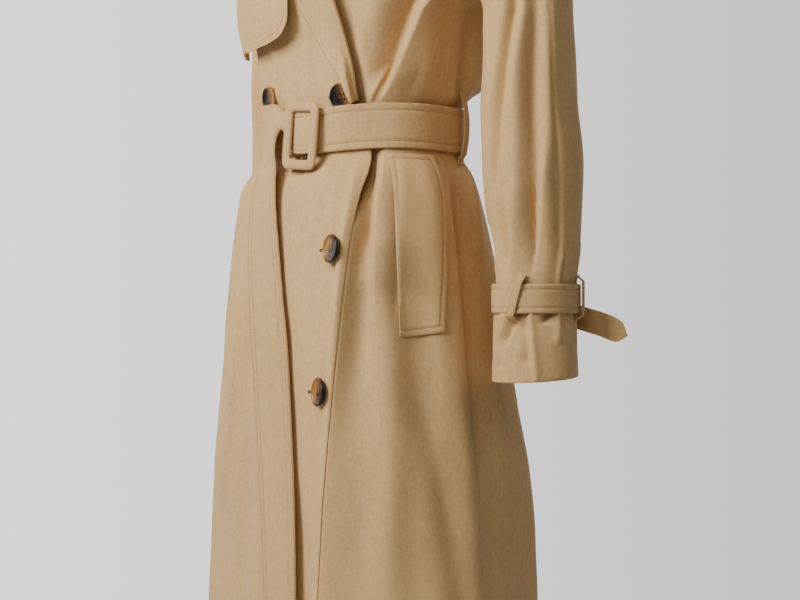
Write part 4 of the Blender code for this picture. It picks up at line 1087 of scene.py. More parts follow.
class Palette:
    """All the finishes of the coat, built once."""

    def __init__(self) -> None:
        """Builds the materials."""
        effects = Effects()
        self.cotton = ClothFinish(
            "sand_twill",
            colour=(0.545, 0.345, 0.152), dark=(0.43, 0.258, 0.105), pale=(0.66, 0.44, 0.21),
        ).make(effects)
        # The belt's twill: the same cloth, painted a little darker as shade on the belt, its end, its loops
        # and the cuff straps.
        self.band = ClothFinish(
            "sand_twill_painted_shade",
            colour=(0.520, 0.330, 0.147), dark=(0.425, 0.26, 0.106), pale=(0.62, 0.413, 0.197),
        ).make(effects)
        # Thread: real stitching, but painted darker than the twill so that each stitch also carries painted
        # shade of its needle holes and sunk line.
        self.thread = ClothFinish(
            "thread_with_painted_shade",
            colour=(0.30, 0.175, 0.075), dark=(0.22, 0.125, 0.05), pale=(0.40, 0.25, 0.12),
            bump=0.15, weave=900.0,
        ).make(effects)
        self.cover = ClothFinish(
            "buckle_cover",
            colour=(0.530, 0.325, 0.150), dark=(0.48, 0.285, 0.125), pale=(0.57, 0.36, 0.175),
            roughness=0.62, sheen=0.05, weave=700.0, bump=0.12, amount=0.4,
        ).make(effects)
        # Horn: its finish paints light through the horn on one side and shade on the other.
        self.horn = HornFinish(
            "horn_with_painted_light",
            dark=(0.010, 0.009, 0.010), brown=(0.060, 0.027, 0.010), amber=(0.30, 0.14, 0.035),
        )
        self.bar = MetalFinish("dull_bar", colour=(0.15, 0.115, 0.075)).make()


def add_mesh(name: str, points: list, faces: list) -> Thing:
    """A new mesh object in the scene."""
    mesh = bpy.data.meshes.new(name)
    mesh.from_pydata(points, [], faces)
    mesh.update()
    thing = bpy.data.objects.new(name, mesh)
    bpy.context.scene.collection.objects.link(thing)
    return thing


def mesh_piece(
    name: str,
    points: Grid,
    faces: Grid | list[tuple[int, ...]],
    material: bpy.types.Material,
    nodes: tuple[str, ...] = (),
    angle: float = 60.0,
) -> Thing:
    """A smooth mesh object that rides on the coat.

    Args:
        name: The piece's name.
        points: Its points, one row each.
        faces: Its faces, as rows of point numbers.
        material: Its material.
        nodes: The solids that it stands for.
        angle: Edges sharper than this many degrees stay sharp.

    Returns:
        The object.
    """
    rows = faces.tolist() if isinstance(faces, np.ndarray) else faces
    thing = add_mesh(name, points.reshape(-1, 3).tolist(), rows)
    mesh = thing.data
    mesh.materials.append(material)
    mesh.shade_smooth()
    mesh.set_sharp_from_angle(angle=math.radians(angle))
    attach(thing, "root")
    if nodes:
        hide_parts(*nodes)
    LOG.info("%s: %d points, %d faces", name, len(mesh.vertices), len(mesh.polygons))
    return thing


def signed_volume(points: Grid, faces: Grid) -> float:
    """Six times the volume inside four-cornered faces."""
    a, b, c, d = (points[faces[:, k]] for k in range(4))
    first = np.einsum("ij,ij->i", a, np.cross(b, c))
    second = np.einsum("ij,ij->i", a, np.cross(c, d))
    return float((first + second).sum())


def ring_faces(rings: int, count: int, start: int = 0, closed: bool = False) -> list[tuple[int, ...]]:
    """Faces between rings of points, one ring after the other.

    Args:
        rings: How many rings.
        count: Points in a ring.
        start: Number of the first point.
        closed: True where the last ring joins the first, otherwise both get a cap.

    Returns:
        Rows of point numbers.
    """
    faces = []
    for i in range(rings if closed else rings - 1):
        first, second = start + i * count, start + (i + 1) % rings * count
        for j in range(count):
            k = (j + 1) % count
            faces.append((first + j, first + k, second + k, second + j))
    if not closed:
        last = start + (rings - 1) * count
        faces.append(tuple(range(start + count - 1, start - 1, -1)))
        faces.append(tuple(range(last, last + count)))
    return faces


def shell(outer: Grid, inner: Grid, closed: bool = False) -> tuple[Grid, Grid]:
    """A thin cloth wall between two grids, with rounded free edges.

    Args:
        outer: Points of the face that shows, rows by columns.
        inner: Points of the other face.
        closed: True where the last column joins the first.

    Returns:
        Points and four-cornered faces.
    """
    middle = (outer + inner) / 2
    half = np.linalg.norm(outer - inner, axis=-1, keepdims=True) / 2
    rows, cols = outer.shape[:2]
    size = rows * cols
    number = np.arange(size).reshape(rows, cols)
    wide = np.concatenate([number, number[:, :1]], axis=1) if closed else number
    a, b = wide[:-1, :-1], wide[:-1, 1:]
    c, d = wide[1:, 1:], wide[1:, :-1]
    front = np.stack([a, b, c, d], axis=-1).reshape(-1, 4)
    faces = [front, front[:, ::-1] + size]
    points = [outer.reshape(-1, 3), inner.reshape(-1, 3)]
    borders = [(number[0], 0, 1), (number[-1], -1, -2)]
    start = 2 * size
    rim_faces = []

    def flank(line: Grid, edge: Grid, flip: bool, loop: bool) -> None:
        """Adds a rounded border between both faces along one edge."""
        nonlocal start
        points.append(edge)
        extra = np.arange(len(line)) + start
        start += len(line)
        pairs = ((line, extra), (extra, line + size))
        for upper, lower in pairs:
            u2 = np.roll(upper, -1) if loop else upper[1:]
            l2 = np.roll(lower, -1) if loop else lower[1:]
            u1 = upper if loop else upper[:-1]
            l1 = lower if loop else lower[:-1]
            quad = np.stack([u1, l1, l2, u2], axis=-1)
            rim_faces.append(quad[:, ::-1] if flip else quad)

    for line, at, near in borders:
        away = unit(middle[at] - middle[near])
        flank(line, middle[at] + away * half[at], at == -1, closed)
    if not closed:
        for at, near in ((0, 1), (-1, -2)):
            away = unit(middle[:, at] - middle[:, near])
            flank(number[:, at], middle[:, at] + away * half[:, at], at == 0, False)
    points = np.concatenate(points)
    faces = np.concatenate(faces + rim_faces)
    if signed_volume(points, faces) < 0:
        faces = faces[:, ::-1]
    return points, faces


class Stitches:
    """Rows of thread, gathered into one mesh."""

    def __init__(self, name: str, pitch: float = STITCH_PITCH, length: float = STITCH_LENGTH) -> None:
        """Keeps the name, the spacing and the length of a stitch."""
        self.name = name
        self.pitch = pitch
        self.length = length
        self.points: list[Grid] = []
        self.faces: list[Grid] = []
        self.count = 0

    def run(self, line: Grid, normal: Grid, radius: float = THREAD_RADIUS) -> None:
        """Sews along a line of points.

        Args:
            line: The line's points on the cloth.
            normal: The cloth's outward direction at each point.
            radius: Half the thread's width.
        """
        place = run_of(line)
        total = int(place[-1] / self.pitch)
        if total < 1:
            return
        middles = (np.arange(total) + 0.5) * (place[-1] / total)

        def read(rows: Grid, at: Grid) -> Grid:
            """Reads points or directions at places along the line."""
            return np.stack([np.interp(at, place, rows[:, k]) for k in range(3)], axis=-1)

        n = unit(read(normal, middles))
        head = read(line, middles + self.length / 2)
        tail = read(line, middles - self.length / 2)
        side = np.cross(unit(head - tail), n)
        middle = read(line, middles) + n * radius * THREAD_LIFT
        ring = []
        for quarter in range(4):
            turn = math.radians(45.0 + 90.0 * quarter)
            ring.append(middle + side * radius * math.cos(turn) + n * radius * math.sin(turn))
        cloud = np.stack([tail, *ring, head], axis=1)
        start = self.count + np.arange(total)[:, None, None] * STITCH_POINTS
        self.points.append(cloud.reshape(-1, 3))
        self.faces.append((np.array(STITCH_FACES)[None] + start).reshape(-1, 3))
        self.count += total * STITCH_POINTS

    def piece(self, palette: Palette) -> Thing:
        """The stitches as one object."""
        points, faces = np.concatenate(self.points), np.concatenate(self.faces)
        return mesh_piece(self.name, points, faces, palette.thread)


@dataclass
class Ribbon:
    """A flat band along a path, with stitched grooves and rounded edges.

    Attributes:
        name: The band's name.
        nodes: The solids that it stands for.
        thickness: The cloth's thickness.
        groove: Depth of a stitched line.
        lines: Distances of the stitched lines from the edges.
        edge_round: How far in from its edge the band is rounded.
        pucker: Height of the small waves that the sewing leaves.
        groove_width: Reach of a groove to each side.
        columns: Even places across the band.
        edge_columns: More places, as distances from the edges.
        line_columns: More places, as distances from a stitched line.
        edge_drop: How far the edge drops, as a share of edge_round.
    """

    name: str
    nodes: tuple[str, ...]
    thickness: float = BAND
    groove: float = 0.00075
    lines: tuple[float, ...] = ()
    edge_round: float = 0.0008
    pucker: float = 0.00012
    groove_width: float = 0.0009
    columns: int = 9
    edge_columns: tuple[float, ...] = (0.0003, 0.0009)
    line_columns: tuple[float, ...] = (-0.0013, -0.0006, 0.0, 0.0006, 0.0013)
    edge_drop: float = 0.6

    def rows(self, half: float) -> Grid:
        """Places across the band, in metres from its middle, dense at its lines."""
        insets = self.edge_columns + tuple(line - off for line in self.lines for off in self.line_columns)
        places = set(np.round(np.linspace(-half, half, self.columns), 6))
        for inset in insets:
            places |= {round(half - inset, 6), round(inset - half, 6)}
        return np.array(sorted(p for p in places if abs(p) <= half))

    def waves(self, run: Grid) -> Grid:
        """Small waves along the band, in metres."""
        return self.pucker * np.sin(run / 0.0045 + 1.7 * np.sin(run / 0.031))

    def build(
        self,
        low: Grid,
        high: Grid,
        palette: Palette,
        outward: Grid,
        closed: bool = False,
        held: str = "stretched",
        rests_on: tuple[str, ...] = ("belt",),
    ) -> Thing:
        """Args:
            low: Points along one edge.
            high: Points along the other edge.
            palette: The finishes.
            outward: A rough outward direction at each station.
            closed: True for a ring.
            held: Not used.
            rests_on: Not used.

        Returns:
            The band's object.
        """
        centre = (low + high) / 2
        across = unit(high - low)
        width = np.linalg.norm(high - low, axis=1)
        if closed:
            along = np.roll(centre, -1, 0) - np.roll(centre, 1, 0)
        else:
            along = np.gradient(centre, axis=0)
        normal = unit(np.cross(across, along))
        normal = normal * np.sign((normal * outward).sum(1).mean())
        half = float(width.max()) / 2
        places = self.rows(half)
        share = places[:, None] / half
        lift = np.zeros(share.shape[0])
        for line in self.lines:
            for side in (-1, 1):
                lift -= self.groove * hump(places, side * (half - line), self.groove_width)
        near = np.clip((np.abs(places) - half + self.edge_round) / self.edge_round, 0, 1)
        lift -= self.edge_round * self.edge_drop * (1 - np.sqrt(1 - near**2))
        shape = lift[:, None] + self.waves(run_of(centre))[None]
        outer = centre[None] + across[None] * (share * width[None] / 2)[..., None]
        outer = outer + normal[None] * shape[..., None]
        inner = outer - normal[None] * (self.thickness + lift[:, None] / 2)[..., None]
        points, faces = shell(outer, inner, closed)
        thing = mesh_piece(self.name, points, faces, palette.band, self.nodes)
        if self.lines:
            thread = Stitches(f"{self.name}_stitches")
            for line in self.lines:
                for side in (-1, 1):
                    k = int(np.argmin(np.abs(places - side * (half - line))))
                    thread.run(outer[k], normal)
            thread.piece(palette)
        return thing


@dataclass
class ClothPiece:
    """A cloth piece that lies on a body panel."""

    body: BodyForm
    palette: Palette
    name: str
    nodes: tuple[str, ...]
    panel: Panel
    thickness: float | Grid = CLOTH
    rests_on: tuple[str, ...] = ("collar_stand",)
    held: str = "hung"
    probe_turn: float = 0.3
    probe_rise: float = 0.001
    flattest: float = 0.4

    def build(self, azimuth: Grid, w: Grid, out: Grid = 0.0, threads: tuple[Thing, ...] = ()) -> Thing:
        """Makes the piece from a grid of azimuths and heights.

        Args:
            azimuth: Degrees, rows by columns.
            w: Heights, rows by columns.
            out: How far the outer face stands off the panel.
            threads: Not used.

        Returns:
            The object.
        """
        azimuth, w = np.broadcast_arrays(azimuth, w)
        out = np.broadcast_to(out, w.shape)
        outer = self.body.sheet(self.panel, azimuth, w, out)
        slope = self.slope(azimuth, w, out)
        inner = self.body.sheet(self.panel, azimuth, w, out - self.thickness / slope)
        points, faces = shell(outer, inner)
        thing = mesh_piece(self.name, points, faces, self.palette.cotton, self.nodes)
        return thing

    def slope(self, azimuth: Grid, w: Grid, out: Grid) -> Grid:
        """How far the folded cloth is turned from the plain surface."""
        sheet, panel = self.body.sheet, self.panel
        turn, rise = self.probe_turn, self.probe_rise
        across = sheet(panel, azimuth + turn, w, out) - sheet(panel, azimuth - turn, w, out)
        up = sheet(panel, azimuth, w + rise, out) - sheet(panel, azimuth, w - rise, out)
        n = unit(np.cross(across, up))
        return np.clip((n * self.body.normals(azimuth, w)).sum(-1), self.flattest, 1.0)


def columns(first: Grid, *stops: tuple[Grid, int]) -> Grid:
    """Azimuths across a panel: each stop after the first has a column count."""
    parts = [first]
    start = first
    for stop, count in stops:
        share = np.linspace(0.0, 1.0, count + 1)[None, 1:]
        parts.append(start + (stop - start) * share)
        start = stop
    return np.concatenate(parts, axis=1)


def follow(table: tuple[tuple[float, float], ...], w: Grid) -> Grid:
    """The azimuth of a front's main crease."""
    rows = np.array(table)
    return smooth(w, rows[:, 0], rows[:, 1])[..., 0]


@dataclass
class Fronts:
    """Both fronts and the back, with their lapels, flap and pocket welts.

    Attributes:
        body: The body's form.
        palette: The finishes.
        row_step: Height between rows of a panel.
        side_turn: Degrees to the side seam, less half the seam's gap.
        back_span: Azimuths of the back's side seams.
        lap_cloth: How much thinner the right front is beside its free edge.
        lapel_gap: From a lapel to its front.
        lapel_lift: How much further the right lapel stands off at its foot.
        lapel_cloth: Thickness of a lapel.
        stitched_width: Width in degrees from which on a lapel shows stitches.
        seam_column: Column of a lapel's grid that its stitches lie beside.
        rim_share: From a lapel's edge to its rim line, a close dark thread line that is painted shadow along
            the edge, in seam insets.
        flap_cloth: Thickness of the flap.
        welt_gap: From a welt to its front.
        welt_length: Rough length of a welt, along which its places are spaced.
        welt_width: Rough width of a welt.
        welt_line: From a welt's edge to its stitches.
        welt_dent: Depth of the stitched line.
        welt_puff: How much its middle stands out.
        welt_lip: How much its free front edge stands out.
        welt_sunk: How much nearer that edge lies on the right welt.
        girth_radius: Radius on which short distances round the coat are laid.
        seam_inset: From a free edge to its stitches.
    """

    body: BodyForm
    palette: Palette
    row_step: float = 0.0042
    side_turn: float = 89.88
    back_span: tuple[float, float] = (90.12, 269.88)
    lap_cloth: float = 0.0008
    lapel_gap: float = 0.0021
    lapel_lift: float = 0.0075
    lapel_cloth: float = 0.0012
    stitched_width: float = 5.0
    seam_column: int = -8
    rim_share: float = 0.04
    flap_cloth: float = 0.0018
    welt_gap: float = 0.0012
    welt_length: float = 0.19
    welt_width: float = 0.056
    welt_line: float = 0.0062
    welt_dent: float = 0.0008
    welt_puff: float = 0.0007
    welt_lip: float = 0.0005
    welt_sunk: float = 0.0022
    girth_radius: float = 0.13
    seam_inset: float = 0.0065

    def rows(self) -> Grid:
        """Heights of the panels' rows."""
        count = int((TOP_W - HEM_Z) / self.row_step)
        return np.linspace(HEM_Z, TOP_W, count)[:, None]

    def piece(self, name: str, panel: Panel, **facts: object) -> ClothPiece:
        """A cloth piece on a panel."""
        return ClothPiece(self.body, self.palette, f"cloth_{name}", (name,), panel, **facts)

    def right(self) -> None:
        """The wearer's right front, up to its free edge and roll line."""
        w = self.rows()
        crease = follow(CREASE_RIGHT, w)
        edge = self.body.edge(w, Side.RIGHT)
        azimuth = columns(
            np.full(w.shape, -self.side_turn), (0.0 - SHOULDER_POINT * step(to_top(w)), 72),
            (crease - 2.5, 34), (crease + 0.4, 18), (edge, 20),
        )
        near = step(1.0 - (edge - azimuth) / 4.0) * below(w, -0.39, 0.05)
        self.piece("front_right", Panel.RIGHT, thickness=CLOTH - self.lap_cloth * near).build(azimuth, w)

    def left(self) -> None:
        """The wearer's left front, from its hidden edge to the side seam."""
        w = self.rows()
        crease = follow(CREASE_LEFT, w)
        low = below(w, -0.40, 0.04)
        lap = (35.0 + 8.0 * step(to_top(w))) * (1.0 - low) + self.body.edge(w, Side.RIGHT) * low
        azimuth = columns(
            self.body.edge(w, Side.LEFT), (lap - 1.0, 30), (lap + 1.4, 14),
            (crease - 4.0, 24), (crease + 1.4, 26), (np.full(w.shape, self.side_turn), 60),
        )
        self.piece("front_left", Panel.LEFT).build(azimuth, w)

    def back(self) -> None:
        """The plain back."""
        azimuth = np.linspace(*self.back_span, 150)[None, :]
        self.piece("back", Panel.BACK).build(azimuth, self.rows())

    def edge_stitches(
        self, name: str, panel: Panel, edge: tuple[Grid, Grid], level: tuple[Grid, Grid], inset: float,
        pitch: float = STITCH_PITCH, length: float = STITCH_LENGTH,
    ) -> Thing:
        """Stitches beside the free edge of a lapel or of the flap.

        Args:
            name: The new object's name.
            panel: The panel that the cloth lies on.
            edge: Azimuths and heights along the edge, from its lower end up.
            level: Heights, and how far the outer face stands off the panel there.
            inset: From the edge to the stitches, above zero towards +azimuth.
            pitch: Spacing of the stitches.
            length: Length of a stitch.

        Returns:
            The stitches.
        """
        flat = np.stack([np.radians(edge[0]) * self.girth_radius, edge[1]], axis=-1)
        along = unit(np.gradient(flat, axis=0))
        flat = flat + np.stack([along[:, 1], -along[:, 0]], axis=-1) * inset
        azimuth, w = np.degrees(flat[:, 0] / self.girth_radius), flat[:, 1]
        thread = Stitches(name, pitch, length)
        line = self.body.sheet(panel, azimuth, w, np.interp(w, *level))
        thread.run(line, self.body.normals(azimuth, w))
        return thread.piece(self.palette)

    def lapel(self, side: Side) -> None:
        """A lapel, turned back over its front in a soft roll."""
        table = np.array(LAPEL)
        w = np.linspace(table[0, 0], table[-1, 0], 96)[:, None]
        width = smooth(w[:, 0], table[:, 0], table[:, 1])
        panel = Panel.RIGHT if side is Side.RIGHT else Panel.LEFT
        roll = self.body.edge(w, side)
        u = np.linspace(0.0, 1.0, 44)[None, :]
        azimuth = roll + side.value * u * width
        over = above(w, -0.24, 0.06) * 0.0050 * step(u * 2.5)
        if side is Side.RIGHT:
            over = over + self.lapel_lift * below(w, -0.262, 0.063) * step(u * 4.0 + 0.2)
        else:
            border = self.body.edge(w, Side.RIGHT)
            over = over * above(azimuth - border, 16.0, 9.0) + 0.0004
        out = CLOTH + self.lapel_gap + over + 0.0010 * np.sin(math.pi * u)
        name = f"lapel_{side.word}"
        threads = self.lapel_stitches(name, panel, side, azimuth, w, out, width[:, 0])
        bend = np.radians(np.linspace(-90.0, 90.0, 9)[None, :-1])
        rise = out[:, :1] / 2
        curl = roll - side.value * np.cos(bend) * np.degrees(rise / self.girth_radius)
        azimuth = np.concatenate([curl, azimuth], axis=1)
        out = np.concatenate([rise * (1 + np.sin(bend)), out], axis=1)
        facts = {"held": "folded", "rests_on": (f"front_{side.word}",), "thickness": self.lapel_cloth}
        self.piece(name, panel, **facts).build(azimuth, w, out, threads)

    def lapel_stitches(
        self, name: str, panel: Panel, side: Side, azimuth: Grid, w: Grid, out: Grid, width: Grid
    ) -> tuple[Thing, ...]:
        """A dark line of close thread on a lapel's rim, painted shadow along its edge, and the row of
        stitches beside it.

        Args:
            name: The lapel's name.
            panel: The panel that it lies on.
            side: The wearer's side.
            azimuth: The lapel's azimuths, rows by columns.
            w: Its heights, one for each row.
            out: How far its outer face stands off the panel.
            width: Its width in degrees, one for each row.

        Returns:
            Its rim's line of painted shadow and the row of stitches.
        """
        broad = width > self.stitched_width
        edge = (azimuth[broad, -1], w[broad, 0])
        inward = -side.value * self.seam_inset
        # Painted shadow: the rim line is close dark thread laid at the lapel's edge in place of its edge
        # shadow.
        rim = self.edge_stitches(
            f"{name}_rim", panel, edge, (w[:, 0], out[:, -1]), inward * self.rim_share,
            pitch=0.0020, length=0.0022,
        )
        level = (w[:, 0], out[:, self.seam_column])
        sewn = self.edge_stitches(f"{name}_stitches", panel, edge, level, inward)
        return rim, sewn

    def storm_flap(self) -> None:
        """The gun flap that hangs over the right chest."""
        table = np.array(STORM, float)
        bend, low, top = -0.215, table[0, 0], table[-1, 0]
        w = np.concatenate([np.linspace(low, bend, 40)[:-1], np.linspace(bend, top, 50)])
        found = smooth(w, table[:, 0], table[:, 1:])
        u = np.linspace(0.0, 1.0, 70)[None, :]
        back, free = found[:, :1], found[:, 1:2]
        azimuth = back + (free - back) * u
        rim = hump((1 - u) * (free - back), 0.0, 1.6) * 0.0006
        off = found[:, 2] * MM
        sewn = self.edge_stitches(
            "storm_flap_stitches", Panel.RIGHT, (free[:, 0], w), (w, off), -self.seam_inset
        )
        facts = {"rests_on": ("front_right",), "thickness": self.flap_cloth}
        flap = self.piece("storm_flap", Panel.RIGHT, **facts)
        flap.build(azimuth, w[:, None], off[:, None] + rim, (sewn,))

    def welt_at(self, side: Side, u: Grid, v: Grid) -> tuple[Grid, Grid]:
        """Azimuths and heights on a welt.

        Args:
            side: The wearer's side.
            u: Shares from its front edge to its back edge.
            v: Shares from its lower end to its upper end.

        Returns:
            The azimuths and the heights.
        """
        (a0, w0), (a1, w1), (a2, w2), (a3, w3) = WELT
        low = a3 + (a2 - a3) * u
        top = a0 + (a1 - a0) * u
        w = (w3 + (w2 - w3) * u) * (1 - v) + (w0 + (w1 - w0) * u) * v
        return (low + (top - low) * v) * side.value, w

    def welt_places(self, size: float) -> Grid:
        """Shares from 0 to 1 across or along a welt, dense at its stitches."""
        found = set(np.round(np.linspace(0, 1, int(size / 0.003)), 5))
        for off in (-0.0014, -0.0007, 0.0, 0.0007, 0.0014):
            inset = self.welt_line + off
            found |= {round(inset / size, 5), round((size - inset) / size, 5)}
        return np.array(sorted(found))

    def welt_stitches(self, side: Side, panel: Panel) -> Thing:
        """The stitches along a welt's upper end, back edge and lower end."""
        thread = Stitches(f"pocket_welt_{side.word}_stitches")
        across, along = self.welt_line / self.welt_width, self.welt_line / self.welt_length
        path = ((0.02, 1 - along), (1 - across, 1 - along), (1 - across, along), (0.02, along))
        share = np.linspace(0, 1, 60)
        for (u1, v1), (u2, v2) in zip(path[:-1], path[1:]):
            azimuth, w = self.welt_at(side, u1 + (u2 - u1) * share, v1 + (v2 - v1) * share)
            line = self.body.sheet(panel, azimuth, w, CLOTH + self.welt_gap + 0.0002)
            thread.run(line, self.body.normals(azimuth, w))
        return thread.piece(self.palette)

    def welt(self, side: Side) -> None:
        """A pocket welt, sewn on inside its edges."""
        panel = Panel.LEFT if side is Side.LEFT else Panel.RIGHT
        u = self.welt_places(self.welt_width)[None, :]
        v = self.welt_places(self.welt_length)[:, None]
        azimuth, w = self.welt_at(side, u, v)
        across, along = u * self.welt_width, v * self.welt_length
        inset = np.minimum(np.minimum(self.welt_width - across, self.welt_length - along), along)
        dent = self.welt_dent * hump(inset, self.welt_line, 0.0009)
        puff = self.welt_puff * above(inset, 0.0, 0.02) + self.welt_lip * hump(across, 0.0, 0.004)
        out = CLOTH + self.welt_gap + puff - dent
        if side is Side.RIGHT:
            out = out - self.welt_sunk * (1.0 - above(across, 0.0, 0.012))
        sewn = self.welt_stitches(side, panel)
        facts = {"held": "stretched", "rests_on": (f"front_{side.word}",)}
        self.piece(f"pocket_welt_{side.word}", panel, **facts).build(azimuth, w, out, (sewn,))

    def make(self) -> None:
        """Builds every piece."""
        self.right()
        self.left()
        self.back()
        self.storm_flap()
        for side in Side:
            self.lapel(side)
            self.welt(side)


@dataclass
class WaistBelt:
    """The belt, its hanging end, its covered buckle and its loops.

    Attributes:
        body: The body's form.
        palette: The finishes.
        middle: Azimuth of the buckle.
        size: Half width and half height of the buckle.
        hole: Half width and half height of its opening.
        corner: Radius of its corners.
        hole_corner: Radius of its opening's corners.
        back: How far its back stands off the body.
        thick: Its thickness.
        puff: How much of the thickness is padding.
        line_depth: Depth of its two sewn lines.
        pitch: How much its top leans in.
        roll: Its turn in degrees.
        lower: How far it hangs below the waist.
        low_bulge: Place on a smooth step of the lower edge's share of the bulge.
        wave: Height of the belt's waves behind.
        start_lift: How much more its start stands off, under the buckle.
        loop_azimuth: Degrees from the front to a loop.
        loop_half: Half the width of a loop.
        loop_ends: Heights of a loop's lower and upper end.
        loop_foot: How far its ends stand off the back.
        loop_off: How far it stands off the waist at the belt's edges.
        loop_bow: How much more in its middle.
    """

    body: BodyForm
    palette: Palette
    middle: float = 9.5
    size: tuple[float, float] = (0.0270, 0.0365)
    hole: tuple[float, float] = (0.0155, 0.0260)
    corner: float = 0.010
    hole_corner: float = 0.003
    back: float = 0.0138
    thick: float = 0.0042
    puff: float = 0.0022
    line_depth: float = 0.0004
    pitch: float = 0.035
    roll: float = -4.0
    lower: float = 0.004
    low_bulge: float = 0.2
    wave: float = 0.0004
    start_lift: float = 0.0025
    loop_azimuth: float = 104.0
    loop_half: float = 0.005
    loop_ends: tuple[float, float] = (-0.4115, -0.3325)
    loop_foot: float = 0.0029
    loop_off: float = 0.0125
    loop_bow: float = 0.004

    def points(self, azimuth: Grid, height: Grid, out: Grid) -> Grid:
        """Points on the belt: height runs -1 to 1 across it."""
        rise = BELT_RISE * hump(wrapped(np.asarray(azimuth, float)), 65.0, 34.0)
        level = self.body.ring(azimuth, np.full(np.shape(azimuth), WAIST_Z))
        level[..., 2] = WAIST_Z + rise + height * BELT_WIDTH / 2
        angle = np.radians(azimuth)
        away = np.stack([np.sin(angle), -np.cos(angle), 0 * angle], axis=-1)
        return level + away * np.asarray(out)[..., None]

    @staticmethod
    def bulge(azimuth: Grid) -> Grid:
        """How far the belt's upper edge stands off in front."""
        return hump(np.abs(wrapped(azimuth)), 38.0, 13.0) * BELT_BULGE

    def belt(self) -> None:
        """The belt once round the waist."""
        azimuth = np.linspace(-360.0 + self.middle + 12.2, self.middle + 4, 440)
        turn = wrapped(azimuth)
        bulge = self.bulge(azimuth)
        flare = above(np.abs(turn - self.middle), 22.0, 15.0) * BELT_FLARE
        wave = self.wave * np.sin(np.radians(turn) * 13.0) * above(np.abs(turn), 50.0, 30.0)
        start = self.start_lift * below(azimuth + 360.0 - self.middle, 16.0, 3.8)
        low_out = BELT_OUT + bulge * step(self.low_bulge) + wave + start
        high_out = BELT_OUT + bulge + flare - wave + start
        low = self.points(azimuth, np.full(azimuth.shape, -1.0), low_out)
        high = self.points(azimuth, np.ones(azimuth.shape), high_out)
        away = low * np.array([1.0, 1.0, 0.0])
        band = Ribbon("cloth_belt", ("belt",), lines=(0.007,))
        band.build(low, high, self.palette, away, rests_on=("front_right", "front_left", "back"))

    def tail(self) -> None:
        """The belt's free end: through the buckle, turned down and hanging."""
        lows, highs = [], []
        for turn, out, low_at, high_at in TAIL_START[1:]:
            azimuth = np.array(self.middle + turn)
            lift = BELT_OUT + out + self.bulge(azimuth) * step(turn / 8.0)
            lows.append(self.points(azimuth, low_at, BELT_OUT + out))
            highs.append(self.points(azimuth, high_at, lift))
        for row in TAIL_TURN:
            lows.append(np.array(row[:3]))
            highs.append(np.array(row[3:]))
        for z, x1, y1, x2, y2 in TAIL:
            lows.append(np.array([x2, y2, z]))
            highs.append(np.array([x1, y1, z]))
        low, high = np.array(lows), np.array(highs)
        place = run_of((low + high) / 2)
        at = np.linspace(0.0, place[-1], 260)
        low, high = smooth(at, place, low), smooth(at, place, high)
        outward = np.tile(np.array([0.1, -1.0, 0.0]), (len(at), 1))
        band = Ribbon("cloth_belt_tail", ("belt_tail",), lines=(0.003, 0.008))
        band.build(low, high, self.palette, outward, held="hung", rests_on=("buckle",))

    def level_frame(self, azimuth: float) -> tuple[Grid, Grid, Grid]:
        """A point of the waist with its level outward and sideways directions."""
        spot = np.array(azimuth), np.array(WAIST_Z)
        n = self.body.normals(*spot)
        n[2] = 0.0
        n = n / np.linalg.norm(n)
        return self.body.base(*spot), n, np.array([-n[1], n[0], 0.0])

    @staticmethod
    def rounded(half: tuple[float, float], corner: float, count: int = 12) -> Grid:
        """The corners of a rounded rectangle, in turn."""
        found = []
        for k, (sx, sy) in enumerate(((1, 1), (-1, 1), (-1, -1), (1, -1))):
            for n in range(count):
                angle = math.radians(90 * k + 90 * n / (count - 1))
                x = sx * (half[0] - corner) + corner * math.cos(angle)
                y = sy * (half[1] - corner) + corner * math.sin(angle)
                found.append((x, y))
        return np.array(found)

    def section(self) -> list[tuple[float, float]]:
        """The buckle's section: share from its edge to the opening, and height."""
        low, high = self.back, self.back + self.thick
        found = [(0.0, low)]
        for share in np.linspace(0.0, 1.0, 25):
            puff = (1 - abs(2 * share - 1) ** 3.2) * self.puff
            line = self.line_depth * (hump(share, 0.22, 0.035) + hump(share, 0.80, 0.035))
            found.append((share, high - self.puff + puff - line))
        return [*found, (1.0, low)]

    def buckle(self) -> None:
        """The covered buckle: a padded frame with a sewn line round it."""
        waist, n, along = self.level_frame(self.middle)
        up = np.array([0.0, 0.0, 1.0])
        at = waist - up * self.lower
        roll = math.radians(self.roll)
        side = along * math.cos(roll) + up * math.sin(roll)
        top = up * math.cos(roll) - along * math.sin(roll)
        outer, inner = self.rounded(self.size, self.corner), self.rounded(self.hole, self.hole_corner)
        section = self.section()
        points = []
        for share, out in section:
            for x, y in outer + (inner - outer) * share:
                points.append(at + side * x + top * y + n * (out - y * self.pitch))
        points, faces = np.array(points), np.array(ring_faces(len(section), len(outer), closed=True))
        if signed_volume(points, faces) < 0:
            faces = faces[:, ::-1]
        mesh_piece("covered_buckle", points, faces, self.palette.cover, ("buckle",), 50.0)
        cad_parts["buckle_bar"].data.materials.clear()
        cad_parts["buckle_bar"].data.materials.append(self.palette.bar)

